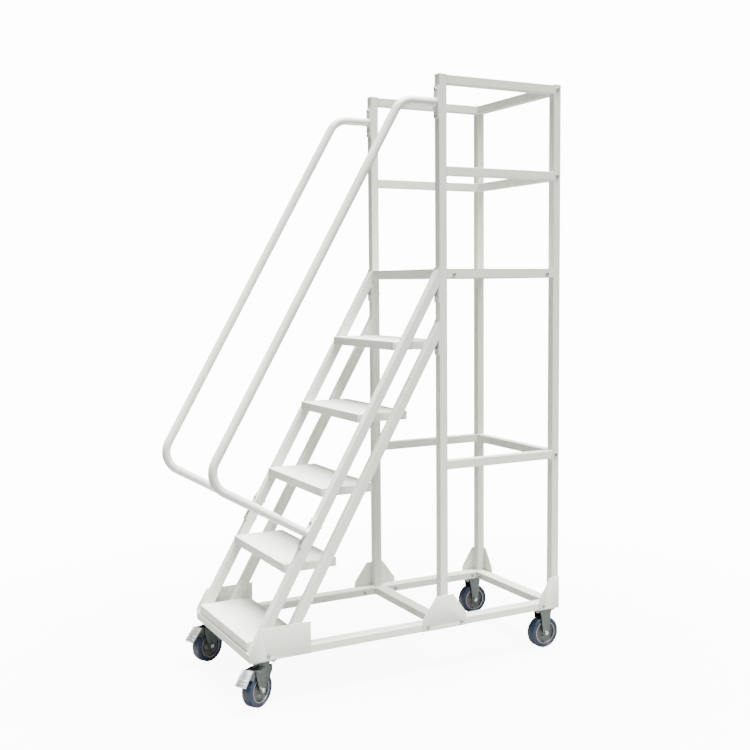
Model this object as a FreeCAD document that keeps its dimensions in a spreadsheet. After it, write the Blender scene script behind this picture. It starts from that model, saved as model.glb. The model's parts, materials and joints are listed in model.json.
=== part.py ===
import FreeCAD, Part
import math
import operator
import os
import Sketcher

# A rolling warehouse ladder: a tower of square posts with a standing deck and guard rails,
# a flight of sheet treads between two pairs of sloping stringers, two bent handrails, and a
# base frame on four casters.  Millimetres, +Z up, +Y the way a person climbs, X = 0 midway
# between the two sides, the floor at Z = 0 and the origin in the middle of the footprint.

DOC = FreeCAD.newDocument("RollingLadder")
SHEET = DOC.addObject("Spreadsheet::Sheet", "Sizes")

DRIVING = {
    # tower
    "width": 680,                  # over the outer faces of the posts
    "tower_depth": 660,            # over the front and rear faces of the posts
    "front_place": 203,            # front faces of the front posts, behind the origin
    "post_top": 2657,
    "mid_rail_top": 2263,
    "lower_rail_top": 956,
    "platform_top": 1815,
    "deck_thickness": 3,
    "deck_gap": 0.5,               # between the deck's notches and the posts
    # square tube of the posts, rails and stringers
    "tube": 40,
    "tube_wall": 2,
    "tube_corner": 3,
    "plug_thickness": 6,           # threaded plug in each end of a rear rail
    # base frame of flat rectangular tube
    "caster_height": 190,
    "base_width": 60,
    "base_tube_height": 35,
    "base_reach": 924,             # front of the base, ahead of the front posts
    "middle_rail_place": 22,       # centre of the middle cross rail, behind the posts' front
    # gusset plates
    "gusset_thickness": 3,
    "gusset_height": 153,
    "gusset_shoulder": 57,         # height at which the sloping edges start
    "post_gusset_top": 88,
    "post_gusset_foot": 230,
    "post_gusset_bolts": 176,
    "corner_gusset_top": 50,
    "corner_gusset_foot": 112,
    "corner_gusset_bolt": 88,
    "foot_gusset_height": 138,
    "foot_gusset_length": 279,
    "foot_gusset_lead": 12,        # plate ahead of the stringer's front face
    "foot_gusset_bolt": 84,
    # stair
    "stair_angle": 60,
    "stair_top": 1822,             # where the stringers' front plane meets the posts
    "stringer_pitch": 117,         # from front stringer to rear stringer, square to them
    "end_plate": 5,
    "end_plate_drop": 75,          # end plate below the stringer's underside
    "end_plate_bolt": 34,          # its bolt above the plate's lower edge
    "tread_first": 270,
    "tread_rise": 307,
    "tread_depth": 245,
    "tread_lip": 38,
    "tread_sheet": 2.5,
    "tread_nose": 28,              # tread ahead of the stringer's front face
    "tread_bend": 3,
    "first_tread_setback": 4,      # lowest tread behind the front of the base
    # handrails
    "rail_radius": 19,
    "rail_wall": 2,
    "rail_offset": 514,            # centre line from the stringer's front face
    "rail_top": 2538,              # centre line of the level part
    "rail_foot": 702,              # where the return meets the stringer
    "rail_bend": 95,
    "flange_length": 140,
    "flange_thickness": 5,
    "flange_top_bolts": 112,
    "flange_foot_bolts": 92,
    # fasteners
    "bolt_radius": 4,
    "bolt_hole": 4.5,
    "screw_hole": 4.05,
    "hex_radius": 7.5,
    "head_height": 5.3,
    "nut_height": 6.5,
    "washer_radius": 8,
    "washer_thickness": 1.6,
    "bolt_tail": 2.5,
    "side_rail_bolt": 35,          # bolt from the end of a platform side rail
    # post caps
    "cap_dome": 4,
    "cap_round": 3,
    "cap_plug": 12,
    "cap_fit": 0.2,
    # casters
    "caster_inset": 70,            # caster centre from each end of the base
    "swing_left": 22,              # how far the front casters are turned at rest
    "swing_right": 30,
    "caster_trail": 40,
    "wheel_radius": 75,
    "tyre_width": 48,
    "tyre_round": 8,
    "tyre_thickness": 15.5,
    "rim_width": 44,
    "rim_thickness": 5,
    "web_width": 14,
    "hub_radius": 15,
    "hub_width": 50,
    "axle_radius": 6,
    "running_gap": 0.05,
    "axle_hex_radius": 10,
    "axle_head": 7,
    "plate_length": 105,
    "plate_thickness": 5,
    "plate_bolts_along": 84,
    "plate_bolts_across": 38,
    "fork_wall": 4,
    "fork_gap": 1,                 # between the hub and a fork leg
    "fork_boss": 17,
    "crown_top": 24,               # below the mounting face
    "crown_thickness": 6,
    "crown_rear": 28,
    "crown_front": 48,
    "cup_radius": 30,
    "race_radius": 24,
    "race_height": 12,
    "race_gap": 1,
    "cup_gap": 4,                  # between the mounting plate and the rim of the cup
    "leg_margin": 16,              # fork leg beyond the brake pivot
    "pivot_margin": 10,
    "kingpin_radius": 6,
    "kingpin_head": 10,
    "fork_root": 62,               # length of a rigid fork at its plate
    "pivot_place": 62,             # brake pivot from the kingpin, along the trail
    "pivot_drop": 33,
    "pivot_radius": 4,
    "pivot_boss": 9,
    "pin_end": 3,
    "pedal_width": 54,
    "pedal_angle": 42,             # thickness direction of the pedal, below level
    "pedal_thickness": 4,
    "pedal_near": 97,              # upper edge of the pedal, from the kingpin
    "pedal_near_drop": 17,
    "pedal_far": 148,
    "pedal_far_drop": 74,
    "cheek_gap": 1,
    "cheek_wall": 3,
    "shoe_angle": 40,              # brake shoe on the tyre, from straight up
    "shoe_length": 20,
    "shoe_thickness": 12,
    "shoe_gap": 0.6,
}

for row, (alias, size) in enumerate(DRIVING.items(), start=1):
    SHEET.set("A{}".format(row), alias)
    SHEET.set("B{}".format(row), str(size))
    SHEET.setAlias("B{}".format(row), alias)
DOC.recompute()


class Size:
    """A length or an angle together with the spreadsheet formula that gives it."""

    def __init__(self, number, formula):
        self.number = float(number)
        self.formula = formula

    def __add__(self, other):
        return combine(self, "+", other)

    def __radd__(self, other):
        return combine(other, "+", self)

    def __sub__(self, other):
        return combine(self, "-", other)

    def __rsub__(self, other):
        return combine(other, "-", self)

    def __mul__(self, other):
        return combine(self, "*", other)

    def __rmul__(self, other):
        return combine(other, "*", self)

    def __truediv__(self, other):
        return combine(self, "/", other)

    def __rtruediv__(self, other):
        return combine(other, "/", self)

    def __neg__(self):
        return combine(-1, "*", self)


OPERATIONS = {"+": operator.add, "-": operator.sub, "*": operator.mul, "/": operator.truediv}


def number_of(size):
    return size.number if isinstance(size, Size) else float(size)


def formula_of(size):
    return size.formula if isinstance(size, Size) else "({})".format(float(size))


def combine(left, sign, right):
    number = OPERATIONS[sign](number_of(left), number_of(right))
    return Size(number, "({} {} {})".format(formula_of(left), sign, formula_of(right)))


def size(alias):
    return Size(DRIVING[alias], "Sizes." + alias)


def sine(angle):
    return Size(math.sin(math.radians(angle.number)), "sin({})".format(angle.formula))


def cosine(angle):
    return Size(math.cos(math.radians(angle.number)), "cos({})".format(angle.formula))


def tangent(angle):
    return Size(math.tan(math.radians(angle.number)), "tan({})".format(angle.formula))


# Places that several pieces share.
HALF = size("width") / 2
TUBE = size("tube")
FRONT = size("front_place")
BASE_LOW = size("caster_height")
BASE_TOP = BASE_LOW + size("base_tube_height")
BASE_MIDDLE = BASE_LOW + size("base_tube_height") / 2
BASE_FRONT = FRONT - size("base_reach")
TOWER_REAR = FRONT + size("tower_depth")
POST_X = HALF - TUBE / 2
RAIL_X = HALF - size("base_width") / 2
SLOPE = size("stair_angle")
RUN_PER_RISE = 1 / tangent(SLOPE)
SIDES = {"left": -1, "right": 1}
SUBPARTS = []


def bind(target, name, amount):
    """Sets one property from a size and ties it to the spreadsheet."""
    target.setExpression(name, formula_of(amount))


def place(thing, x, y, z, axis=None, turn=0):
    """Puts a piece at x, y, z, turned about an axis."""
    rotation = FreeCAD.Rotation(axis or FreeCAD.Vector(0, 0, 1), number_of(turn))
    base = FreeCAD.Vector(number_of(x), number_of(y), number_of(z))
    thing.Placement = FreeCAD.Placement(base, rotation)
    for letter, amount in zip("xyz", (x, y, z)):
        bind(thing, "Placement.Base." + letter, amount)
    if isinstance(turn, Size):
        bind(thing, "Placement.Rotation.Angle", turn)


def new_body(name):
    body = DOC.addObject("PartDesign::Body", name)
    body.Label = name
    SUBPARTS.append(body)
    return body


def new_sketch(body, role, offset=0):
    """A sketch on one of the body's own planes, moved along the plane's normal."""
    sketch = body.newObject("Sketcher::SketchObject", body.Name + "_sketch")
    plane = [f for f in body.Origin.OriginFeatures if f.Role == role][0]
    sketch.AttachmentSupport = [(plane, "")]
    sketch.MapMode = "FlatFace"
    bind(sketch, "AttachmentOffset.Base.z", offset)
    return sketch


def sloping_sketch(body, y, z):
    """A sketch in the stringers' front plane: x across, y up the slope, normal outwards."""
    sketch = new_sketch(body, "XY_Plane", z)
    turn = FreeCAD.Rotation(FreeCAD.Vector(1, 0, 0), SLOPE.number)
    sketch.AttachmentOffset = FreeCAD.Placement(FreeCAD.Vector(0, number_of(y), number_of(z)), turn)
    bind(sketch, "AttachmentOffset.Base.y", y)
    bind(sketch, "AttachmentOffset.Rotation.Angle", SLOPE)
    return sketch


def pin_point(sketch, element, end, x, y):
    """Fixes one end or centre of a sketch element at x, y."""
    for kind, amount in (("DistanceX", x), ("DistanceY", y)):
        rule = Sketcher.Constraint(kind, -1, 1, element, end, number_of(amount))
        bind(sketch, "Constraints[{}]".format(sketch.addConstraint(rule)), amount)


def draw_outline(sketch, points):
    """A closed polygon through the points."""
    spots = [FreeCAD.Vector(number_of(x), number_of(y), 0) for x, y in points]
    first = sketch.GeometryCount
    for here, there in zip(spots, spots[1:] + spots[:1]):
        sketch.addGeometry(Part.LineSegment(here, there), False)
    for index, (x, y) in enumerate(points):
        following = (index + 1) % len(points)
        sketch.addConstraint(Sketcher.Constraint("Coincident", first + index, 2, first + following, 1))
        pin_point(sketch, first + index, 1, x, y)


def draw_circle(sketch, x, y, radius):
    centre = FreeCAD.Vector(number_of(x), number_of(y), 0)
    circle = Part.Circle(centre, FreeCAD.Vector(0, 0, 1), number_of(radius))
    element = sketch.addGeometry(circle, False)
    pin_point(sketch, element, 3, x, y)
    rule = Sketcher.Constraint("Radius", element, number_of(radius))
    bind(sketch, "Constraints[{}]".format(sketch.addConstraint(rule)), radius)


def rectangle(across, up):
    return [(-across / 2, -up / 2), (across / 2, -up / 2), (across / 2, up / 2), (-across / 2, up / 2)]


def moved(points, x, y):
    return [(x + px, y + py) for px, py in points]


def add_pad(body, sketch, length, backwards=False):
    pad = body.newObject("PartDesign::Pad", body.Name + "_pad")
    pad.Profile = sketch
    pad.Reversed = backwards
    bind(pad, "Length", length)
    return pad


def cut_through(body, sketch):
    pocket = body.newObject("PartDesign::Pocket", body.Name + "_cut")
    pocket.Profile = sketch
    pocket.Type = "ThroughAll"
    pocket.SideType = "Symmetric"
    return pocket


def cut_depth(body, sketch, depth, along_normal):
    pocket = body.newObject("PartDesign::Pocket", body.Name + "_cut")
    pocket.Profile = sketch
    pocket.Type = "Length"
    pocket.Reversed = along_normal
    bind(pocket, "Length", depth)
    return pocket


def bore(body, sketch, spots, radius):
    """Drills right through the body at each spot of the sketch."""
    for x, y in spots:
        draw_circle(sketch, x, y, radius)
    return cut_through(body, sketch)


def round_edges(body, base, wanted, radius):
    """Fillets the edges of the base feature for which wanted(edge) is true."""
    DOC.recompute()
    names = ["Edge{}".format(n) for n, edge in enumerate(base.Shape.Edges, start=1) if wanted(edge)]
    fillet = body.newObject("PartDesign::Fillet", body.Name + "_round")
    fillet.Base = (base, names)
    bind(fillet, "Radius", radius)
    return fillet


def runs_along(direction):
    """Tells whether a straight edge is parallel to the direction."""
    def wanted(edge):
        if edge.Curve.TypeId != "Part::GeomLine":
            return False
        return edge.Curve.Direction.cross(direction).Length < 1e-6
    return wanted


RUNS = {
    "X": ("YZ_Plane", False, FreeCAD.Vector(1, 0, 0)),
    "Y": ("XZ_Plane", True, FreeCAD.Vector(0, 1, 0)),
    "Z": ("XY_Plane", False, FreeCAD.Vector(0, 0, 1)),
}


def box_tube(name, run, across, up, length):
    """A rectangular tube centred on its run, from 0 to its length, with rounded corners."""
    body = new_body(name)
    role, backwards, direction = RUNS[run]
    outside = new_sketch(body, role)
    draw_outline(outside, rectangle(across, up))
    solid = add_pad(body, outside, length, backwards)
    round_edges(body, solid, runs_along(direction), size("tube_corner"))
    inside = new_sketch(body, role)
    wall = size("tube_wall")
    draw_outline(inside, rectangle(across - 2 * wall, up - 2 * wall))
    cut_through(body, inside)
    return body


# ---------------------------------------------------------------- tower

def post(name, side, y, heights_across, heights_along):
    """A post on the base rail, drilled across (X) and along (Y) at the given heights."""
    body = box_tube(name, "Z", TUBE, TUBE, size("post_top") - BASE_TOP)
    if heights_across:
        across = [(0, z - BASE_TOP) for z in heights_across]
        bore(body, new_sketch(body, "YZ_Plane"), across, size("bolt_hole"))
    if heights_along:
        along = [(0, z - BASE_TOP) for z in heights_along]
        bore(body, new_sketch(body, "XZ_Plane"), along, size("bolt_hole"))
    place(body, side * POST_X, y, BASE_TOP)


REAR_RAIL_TOPS = {
    "top_rail": size("post_top"),
    "mid_rail": size("mid_rail_top"),
    "lower_rail": size("lower_rail_top"),
}
PLATFORM_RAIL_TOP = size("platform_top") - size("deck_thickness")
POST_FRONT_Y = FRONT + TUBE / 2
POST_REAR_Y = TOWER_REAR - TUBE / 2
RAIL_HEIGHTS = [top - TUBE / 2 for top in REAR_RAIL_TOPS.values()]

# Heights on the posts' front faces that the stair and handrails bolt to.
DEPTH_ON_POST = TUBE / cosine(SLOPE)
STRINGER_TOPS = {
    "front": size("stair_top"),
    "rear": size("stair_top") - size("stringer_pitch") / cosine(SLOPE),
}


def end_plate_low(row):
    return STRINGER_TOPS[row] - DEPTH_ON_POST - size("end_plate_drop")


STRINGER_BOLTS = [end_plate_low(row) + size("end_plate_bolt") for row in STRINGER_TOPS]
HALF_TOP_BOLTS = size("flange_top_bolts") / 2
FLANGE_BOLTS = [size("rail_top") - HALF_TOP_BOLTS, size("rail_top") + HALF_TOP_BOLTS]

for hand, side in SIDES.items():
    post("post_front_" + hand, side, POST_FRONT_Y, [], STRINGER_BOLTS + FLANGE_BOLTS)
    post("post_rear_" + hand, side, POST_REAR_Y, RAIL_HEIGHTS, [])


def side_rail(name, side, top):
    """A rail between the front and rear post of one side."""
    body = box_tube(name, "Y", TUBE, TUBE, size("tower_depth") - 2 * TUBE)
    place(body, side * POST_X, FRONT + TUBE, top - TUBE / 2)
    return body


def cross_rail(name, y, top):
    """A rail between the left and right posts, centred at y."""
    body = box_tube(name, "X", TUBE, TUBE, size("width") - 2 * TUBE)
    place(body, TUBE - HALF, y, top - TUBE / 2)
    return body


def add_plugs(body, length):
    """Threaded plugs inside both ends of a cross rail."""
    inner = TUBE - 2 * size("tube_wall")
    for start in (0, length - size("plug_thickness")):
        sketch = new_sketch(body, "YZ_Plane", start)
        draw_outline(sketch, rectangle(inner, inner))
        draw_circle(sketch, 0, 0, size("screw_hole"))
        add_pad(body, sketch, size("plug_thickness"))


for level, top in REAR_RAIL_TOPS.items():
    for hand, side in SIDES.items():
        side_rail(level + "_" + hand, side, top)
    add_plugs(cross_rail(level + "_rear", POST_REAR_Y, top), size("width") - 2 * TUBE)

SIDE_RAIL_BOLTS = [size("side_rail_bolt"), size("tower_depth") - 2 * TUBE - size("side_rail_bolt")]
for hand, side in SIDES.items():
    rail = side_rail("platform_rail_" + hand, side, PLATFORM_RAIL_TOP)
    bore(rail, new_sketch(rail, "YZ_Plane"), [(y, 0) for y in SIDE_RAIL_BOLTS], size("bolt_hole"))
cross_rail("platform_rail_front", POST_FRONT_Y, PLATFORM_RAIL_TOP)
cross_rail("platform_rail_rear", POST_REAR_Y, PLATFORM_RAIL_TOP)


def platform_deck():
    """A sheet on the four platform rails, notched round the posts."""
    body = new_body("platform_deck")
    sketch = new_sketch(body, "XY_Plane")
    notch = TUBE + size("deck_gap")
    x, y = HALF, size("tower_depth")
    draw_outline(sketch, [
        (notch - x, 0), (x - notch, 0), (x - notch, notch), (x, notch),
        (x, y - notch), (x - notch, y - notch), (x - notch, y), (notch - x, y),
        (notch - x, y - notch), (-x, y - notch), (-x, notch), (notch - x, notch),
    ])
    add_pad(body, sketch, size("deck_thickness"))
    place(body, 0, FRONT, PLATFORM_RAIL_TOP)


platform_deck()


def gather(name, pieces):
    """One sub-part made of several separate identical solids."""
    for piece in pieces:
        if piece in SUBPARTS:
            SUBPARTS.remove(piece)
    group = DOC.addObject("Part::Compound", name)
    group.Label = name
    group.Links = pieces
    SUBPARTS.append(group)


def post_cap(x, y):
    """A square cap with a domed top and a plug that fits into the post."""
    dome = DOC.addObject("Part::Box", "cap_dome")
    for edge in ("Length", "Width"):
        bind(dome, edge, TUBE)
    bind(dome, "Height", size("cap_dome"))
    place(dome, -TUBE / 2, -TUBE / 2, 0)
    DOC.recompute()
    rounded = DOC.addObject("Part::Fillet", "cap_round")
    rounded.Base = dome
    round_radius = DRIVING["cap_round"]
    half_height = DRIVING["cap_dome"] / 2
    upper = [n for n, e in enumerate(dome.Shape.Edges, start=1) if e.BoundBox.ZMin > half_height]
    rounded.Edges = [(n, round_radius, round_radius) for n in upper]
    plug = DOC.addObject("Part::Box", "cap_plug")
    inner = TUBE - 2 * size("tube_wall") - 2 * size("cap_fit")
    for edge in ("Length", "Width"):
        bind(plug, edge, inner)
    bind(plug, "Height", size("cap_plug"))
    place(plug, -inner / 2, -inner / 2, -size("cap_plug"))
    cap = DOC.addObject("Part::Fuse", "cap")
    cap.Base = rounded
    cap.Tool = plug
    place(cap, x, y, size("post_top"))
    return cap


POST_ROWS = (POST_FRONT_Y, POST_REAR_Y)
gather("post_caps", [post_cap(side * POST_X, y) for side in SIDES.values() for y in POST_ROWS])


# ---------------------------------------------------------------- base frame

CASTER_X = RAIL_X
CASTER_FRONT_Y = BASE_FRONT + size("caster_inset")
CASTER_REAR_Y = TOWER_REAR - size("caster_inset")
CASTER_BOLTS = [
    (across * size("plate_bolts_across") / 2, along * size("plate_bolts_along") / 2)
    for across in (-1, 1)
    for along in (-1, 1)
]
GUSSET_CENTRE = FRONT + TUBE / 2
SIDE_GUSSET_BOLTS = [
    BASE_FRONT + size("foot_gusset_bolt"),
    GUSSET_CENTRE - size("post_gusset_bolts") / 2,
    GUSSET_CENTRE + size("post_gusset_bolts") / 2,
    TOWER_REAR - size("corner_gusset_bolt"),
]


def base_tube(name, run, length):
    return box_tube(name, run, size("base_width"), size("base_tube_height"), length)


def drill_floor(body, spots):
    """Holes in the lower wall only, for the casters' bolts."""
    sketch = new_sketch(body, "XY_Plane", -size("base_tube_height") / 2)
    for x, y in spots:
        draw_circle(sketch, x, y, size("bolt_hole"))
    cut_depth(body, sketch, 2 * size("tube_wall"), True)


def base_side_rail(hand, side):
    start = BASE_FRONT + size("base_width")
    body = base_tube("base_rail_" + hand, "Y", TOWER_REAR - size("base_width") - start)
    bore(body, new_sketch(body, "YZ_Plane"), [(y - start, 0) for y in SIDE_GUSSET_BOLTS], size("bolt_hole"))
    along = size("plate_bolts_along") / 2
    across = size("plate_bolts_across") / 2
    rows = (CASTER_FRONT_Y + along - start, CASTER_REAR_Y - along - start)
    drill_floor(body, [(x, y) for x in (-across, across) for y in rows])
    place(body, side * RAIL_X, start, BASE_MIDDLE)


def base_end_rail(name, y, caster_y, step):
    """The front or rear rail, across the full width, over one row of caster bolts each side."""
    body = base_tube(name, "X", size("width"))
    row = caster_y + step * size("plate_bolts_along") / 2 - y
    across = size("plate_bolts_across") / 2
    middle = HALF
    spots = [(middle + side * CASTER_X + hand * across, row) for side in (-1, 1) for hand in (-1, 1)]
    drill_floor(body, spots)
    place(body, -HALF, y, BASE_MIDDLE)
    return body


for hand, side in SIDES.items():
    base_side_rail(hand, side)
base_end_rail("base_cross_rail_front", BASE_FRONT + size("base_width") / 2, CASTER_FRONT_Y, -1)
rear_rail = base_end_rail("base_cross_rail_rear", TOWER_REAR - size("base_width") / 2, CASTER_REAR_Y, 1)
REAR_GUSSET_BOLT_X = HALF - size("corner_gusset_bolt")
bore(
    rear_rail,
    new_sketch(rear_rail, "XZ_Plane"),
    [(HALF + side * REAR_GUSSET_BOLT_X, 0) for side in (-1, 1)],
    size("bolt_hole"),
)
middle_rail = base_tube("base_cross_rail_middle", "X", size("width") - 2 * size("base_width"))
place(middle_rail, size("base_width") - HALF, FRONT + size("middle_rail_place"), BASE_MIDDLE)


def side_plate(name, side, outline, bolts):
    """A flat gusset on the outer side of the frame, drawn in Y and Z."""
    body = new_body(name)
    thickness = size("gusset_thickness")
    sketch = new_sketch(body, "YZ_Plane", -thickness / 2)
    draw_outline(sketch, outline)
    for y, z in bolts:
        draw_circle(sketch, y, z, size("bolt_hole"))
    add_pad(body, sketch, thickness)
    place(body, side * (HALF + thickness / 2), 0, 0)
    return body


def front_post_gusset(hand, side):
    top = size("post_gusset_top") / 2
    foot = size("post_gusset_foot") / 2
    shoulder = BASE_LOW + size("gusset_shoulder")
    peak = BASE_LOW + size("gusset_height")
    middle = GUSSET_CENTRE
    outline = [
        (middle - foot, BASE_LOW), (middle + foot, BASE_LOW), (middle + foot, shoulder),
        (middle + top, peak), (middle - top, peak), (middle - foot, shoulder),
    ]
    bolts = [(y, BASE_MIDDLE) for y in SIDE_GUSSET_BOLTS[1:3]]
    return side_plate("front_post_gusset_" + hand, side, outline, bolts)


def stringer_front_y(z):
    """Y of the stringers' front plane at height z."""
    return FRONT - (size("stair_top") - z) * RUN_PER_RISE


def stair_foot_gusset(hand, side):
    lead = size("foot_gusset_lead")
    peak = BASE_LOW + size("foot_gusset_height")
    rear = BASE_FRONT + size("foot_gusset_length")
    knee = size("stair_top") - (FRONT - lead - BASE_FRONT) * tangent(SLOPE)
    outline = [
        (BASE_FRONT, BASE_LOW), (rear, BASE_LOW), (rear, peak),
        (stringer_front_y(peak) - lead, peak), (BASE_FRONT, knee),
    ]
    side_plate("stair_foot_gusset_" + hand, side, outline, [(SIDE_GUSSET_BOLTS[0], BASE_MIDDLE)])


def rear_corner_gusset(hand, side):
    """An angle plate round the rear corner: one flange on the side, one on the back."""
    body = new_body("rear_corner_gusset_" + hand)
    thickness = size("gusset_thickness")
    foot = size("corner_gusset_foot")
    top = size("corner_gusset_top")
    shoulder = size("gusset_shoulder")
    peak = size("gusset_height")
    bolt = size("corner_gusset_bolt")
    level = size("base_tube_height") / 2
    flange = new_sketch(body, "YZ_Plane", 0 if side > 0 else -thickness)
    draw_outline(flange, [
        (thickness, 0), (-foot, 0), (-foot, shoulder), (-top, peak), (thickness, peak),
    ])
    draw_circle(flange, -bolt, level, size("bolt_hole"))
    add_pad(body, flange, thickness)
    back = new_sketch(body, "XZ_Plane", -thickness)
    draw_outline(back, [
        (side * thickness, 0), (-side * foot, 0), (-side * foot, shoulder),
        (-side * top, peak), (side * thickness, peak),
    ])
    draw_circle(back, -side * bolt, level, size("bolt_hole"))
    add_pad(body, back, thickness)
    place(body, side * HALF, TOWER_REAR, BASE_LOW)


gather("front_post_gussets", [front_post_gusset(hand, side) for hand, side in SIDES.items()])
for hand, side in SIDES.items():
    stair_foot_gusset(hand, side)
    rear_corner_gusset(hand, side)


# ---------------------------------------------------------------- stair

SLOPE_TURN = math.radians(SLOPE.number)
SLOPE_DIRECTION = FreeCAD.Vector(0, math.cos(SLOPE_TURN), math.sin(SLOPE_TURN))
FOOT_BOLT_STEPS = (-size("flange_foot_bolts") / 2, size("flange_foot_bolts") / 2)


def stringer(row, hand, side):
    """A sloping tube from the base to an end plate on the front post."""
    body = new_body("stringer_{}_{}".format(row, hand))
    top = STRINGER_TOPS[row]
    low = top - DEPTH_ON_POST
    plate = size("end_plate")

    def front(z):
        return (z - top) * RUN_PER_RISE

    def under(z):
        return (z - low) * RUN_PER_RISE

    cut_front = top - plate * tangent(SLOPE)
    cut_under = low - plate * tangent(SLOPE)
    outside = new_sketch(body, "YZ_Plane", -TUBE / 2)
    draw_outline(outside, [
        (-plate, cut_front), (-plate, cut_under), (under(BASE_TOP), BASE_TOP), (front(BASE_TOP), BASE_TOP),
    ])
    solid = add_pad(body, outside, TUBE)
    round_edges(body, solid, runs_along(SLOPE_DIRECTION), size("tube_corner"))
    wall = size("tube_wall")
    rise = wall / cosine(SLOPE)
    inside = new_sketch(body, "YZ_Plane", wall - TUBE / 2)
    beyond = TUBE
    draw_outline(inside, [
        (beyond, top - rise + beyond * tangent(SLOPE)),
        (beyond, low + rise + beyond * tangent(SLOPE)),
        (under(BASE_TOP - beyond - rise), BASE_TOP - beyond),
        (front(BASE_TOP - beyond + rise), BASE_TOP - beyond),
    ])
    cut_depth(body, inside, TUBE - 2 * wall, True)
    face = new_sketch(body, "XZ_Plane")
    draw_outline(face, [
        (-TUBE / 2, end_plate_low(row)), (TUBE / 2, end_plate_low(row)), (TUBE / 2, top), (-TUBE / 2, top),
    ])
    draw_circle(face, 0, end_plate_low(row) + size("end_plate_bolt"), size("bolt_hole"))
    add_pad(body, face, plate)
    if row == "front":
        foot = sloping_sketch(body, stringer_front_y(size("rail_foot")) - FRONT, size("rail_foot"))
        bore(body, foot, [(0, step) for step in FOOT_BOLT_STEPS], size("bolt_hole"))
    place(body, side * POST_X, FRONT, 0)


for row in STRINGER_TOPS:
    for hand, side in SIDES.items():
        stringer(row, hand, side)


def tread(number, front, top):
    """A folded sheet pan, open below, between the stringers."""
    body = new_body("tread_{}".format(number))
    length = size("width") - 2 * TUBE
    depth = size("tread_depth")
    sheet = size("tread_sheet")
    sketch = new_sketch(body, "XY_Plane", -size("tread_lip"))
    draw_outline(sketch, [(-length / 2, 0), (length / 2, 0), (length / 2, depth), (-length / 2, depth)])
    solid = add_pad(body, sketch, size("tread_lip"))
    reach = DRIVING["tread_lip"] / 2

    def folded(edge):
        level = runs_along(FreeCAD.Vector(1, 0, 0))(edge) or runs_along(FreeCAD.Vector(0, 1, 0))(edge)
        return level and edge.BoundBox.ZMin > -reach

    round_edges(body, solid, folded, size("tread_bend"))
    hollow = new_sketch(body, "XY_Plane", -size("tread_lip"))
    draw_outline(hollow, [
        (sheet - length / 2, sheet), (length / 2 - sheet, sheet),
        (length / 2 - sheet, depth - sheet), (sheet - length / 2, depth - sheet),
    ])
    cut_depth(body, hollow, size("tread_lip") - sheet, True)
    place(body, 0, front, top)


TREADS = 5
tread(1, BASE_FRONT + size("first_tread_setback"), size("tread_first"))
for number in range(2, TREADS + 1):
    top = size("tread_first") + (number - 1) * size("tread_rise")
    tread(number, stringer_front_y(top) - size("tread_nose"), top)


# ---------------------------------------------------------------- handrails

# Centre line in the side's own Y and Z, with Y = 0 at the posts' front faces.
FOOT_Y = stringer_front_y(size("rail_foot")) - FRONT
CORNER_Y = FOOT_Y - size("rail_offset") * sine(SLOPE)
CORNER_Z = size("rail_foot") + size("rail_offset") * cosine(SLOPE)
KNEE_Y = CORNER_Y + (size("rail_top") - CORNER_Z) * RUN_PER_RISE


def turn_point(start, angle, distance):
    """The point a distance from the start in a direction angle above +Y."""
    return start[0] + distance * cosine(angle), start[1] + distance * sine(angle)


def add_bend(sketch, before, after, centre, middle_angle):
    """An arc of the bend radius that joins the end of one line to the start of the next."""
    bend = size("rail_bend")
    middle = turn_point(centre, middle_angle, bend)
    leave = sketch.Geometry[before].EndPoint
    arrive = sketch.Geometry[after].StartPoint
    through = FreeCAD.Vector(number_of(middle[0]), number_of(middle[1]), 0)
    arc = sketch.addGeometry(Part.Arc(leave, through, arrive), False)
    from_start = (sketch.Geometry[arc].StartPoint - leave).Length < 1
    sketch.addConstraint(Sketcher.Constraint("Coincident", before, 2, arc, 1 if from_start else 2))
    sketch.addConstraint(Sketcher.Constraint("Coincident", after, 1, arc, 2 if from_start else 1))
    rule = Sketcher.Constraint("Radius", arc, bend.number)
    bind(sketch, "Constraints[{}]".format(sketch.addConstraint(rule)), bend)


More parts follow.
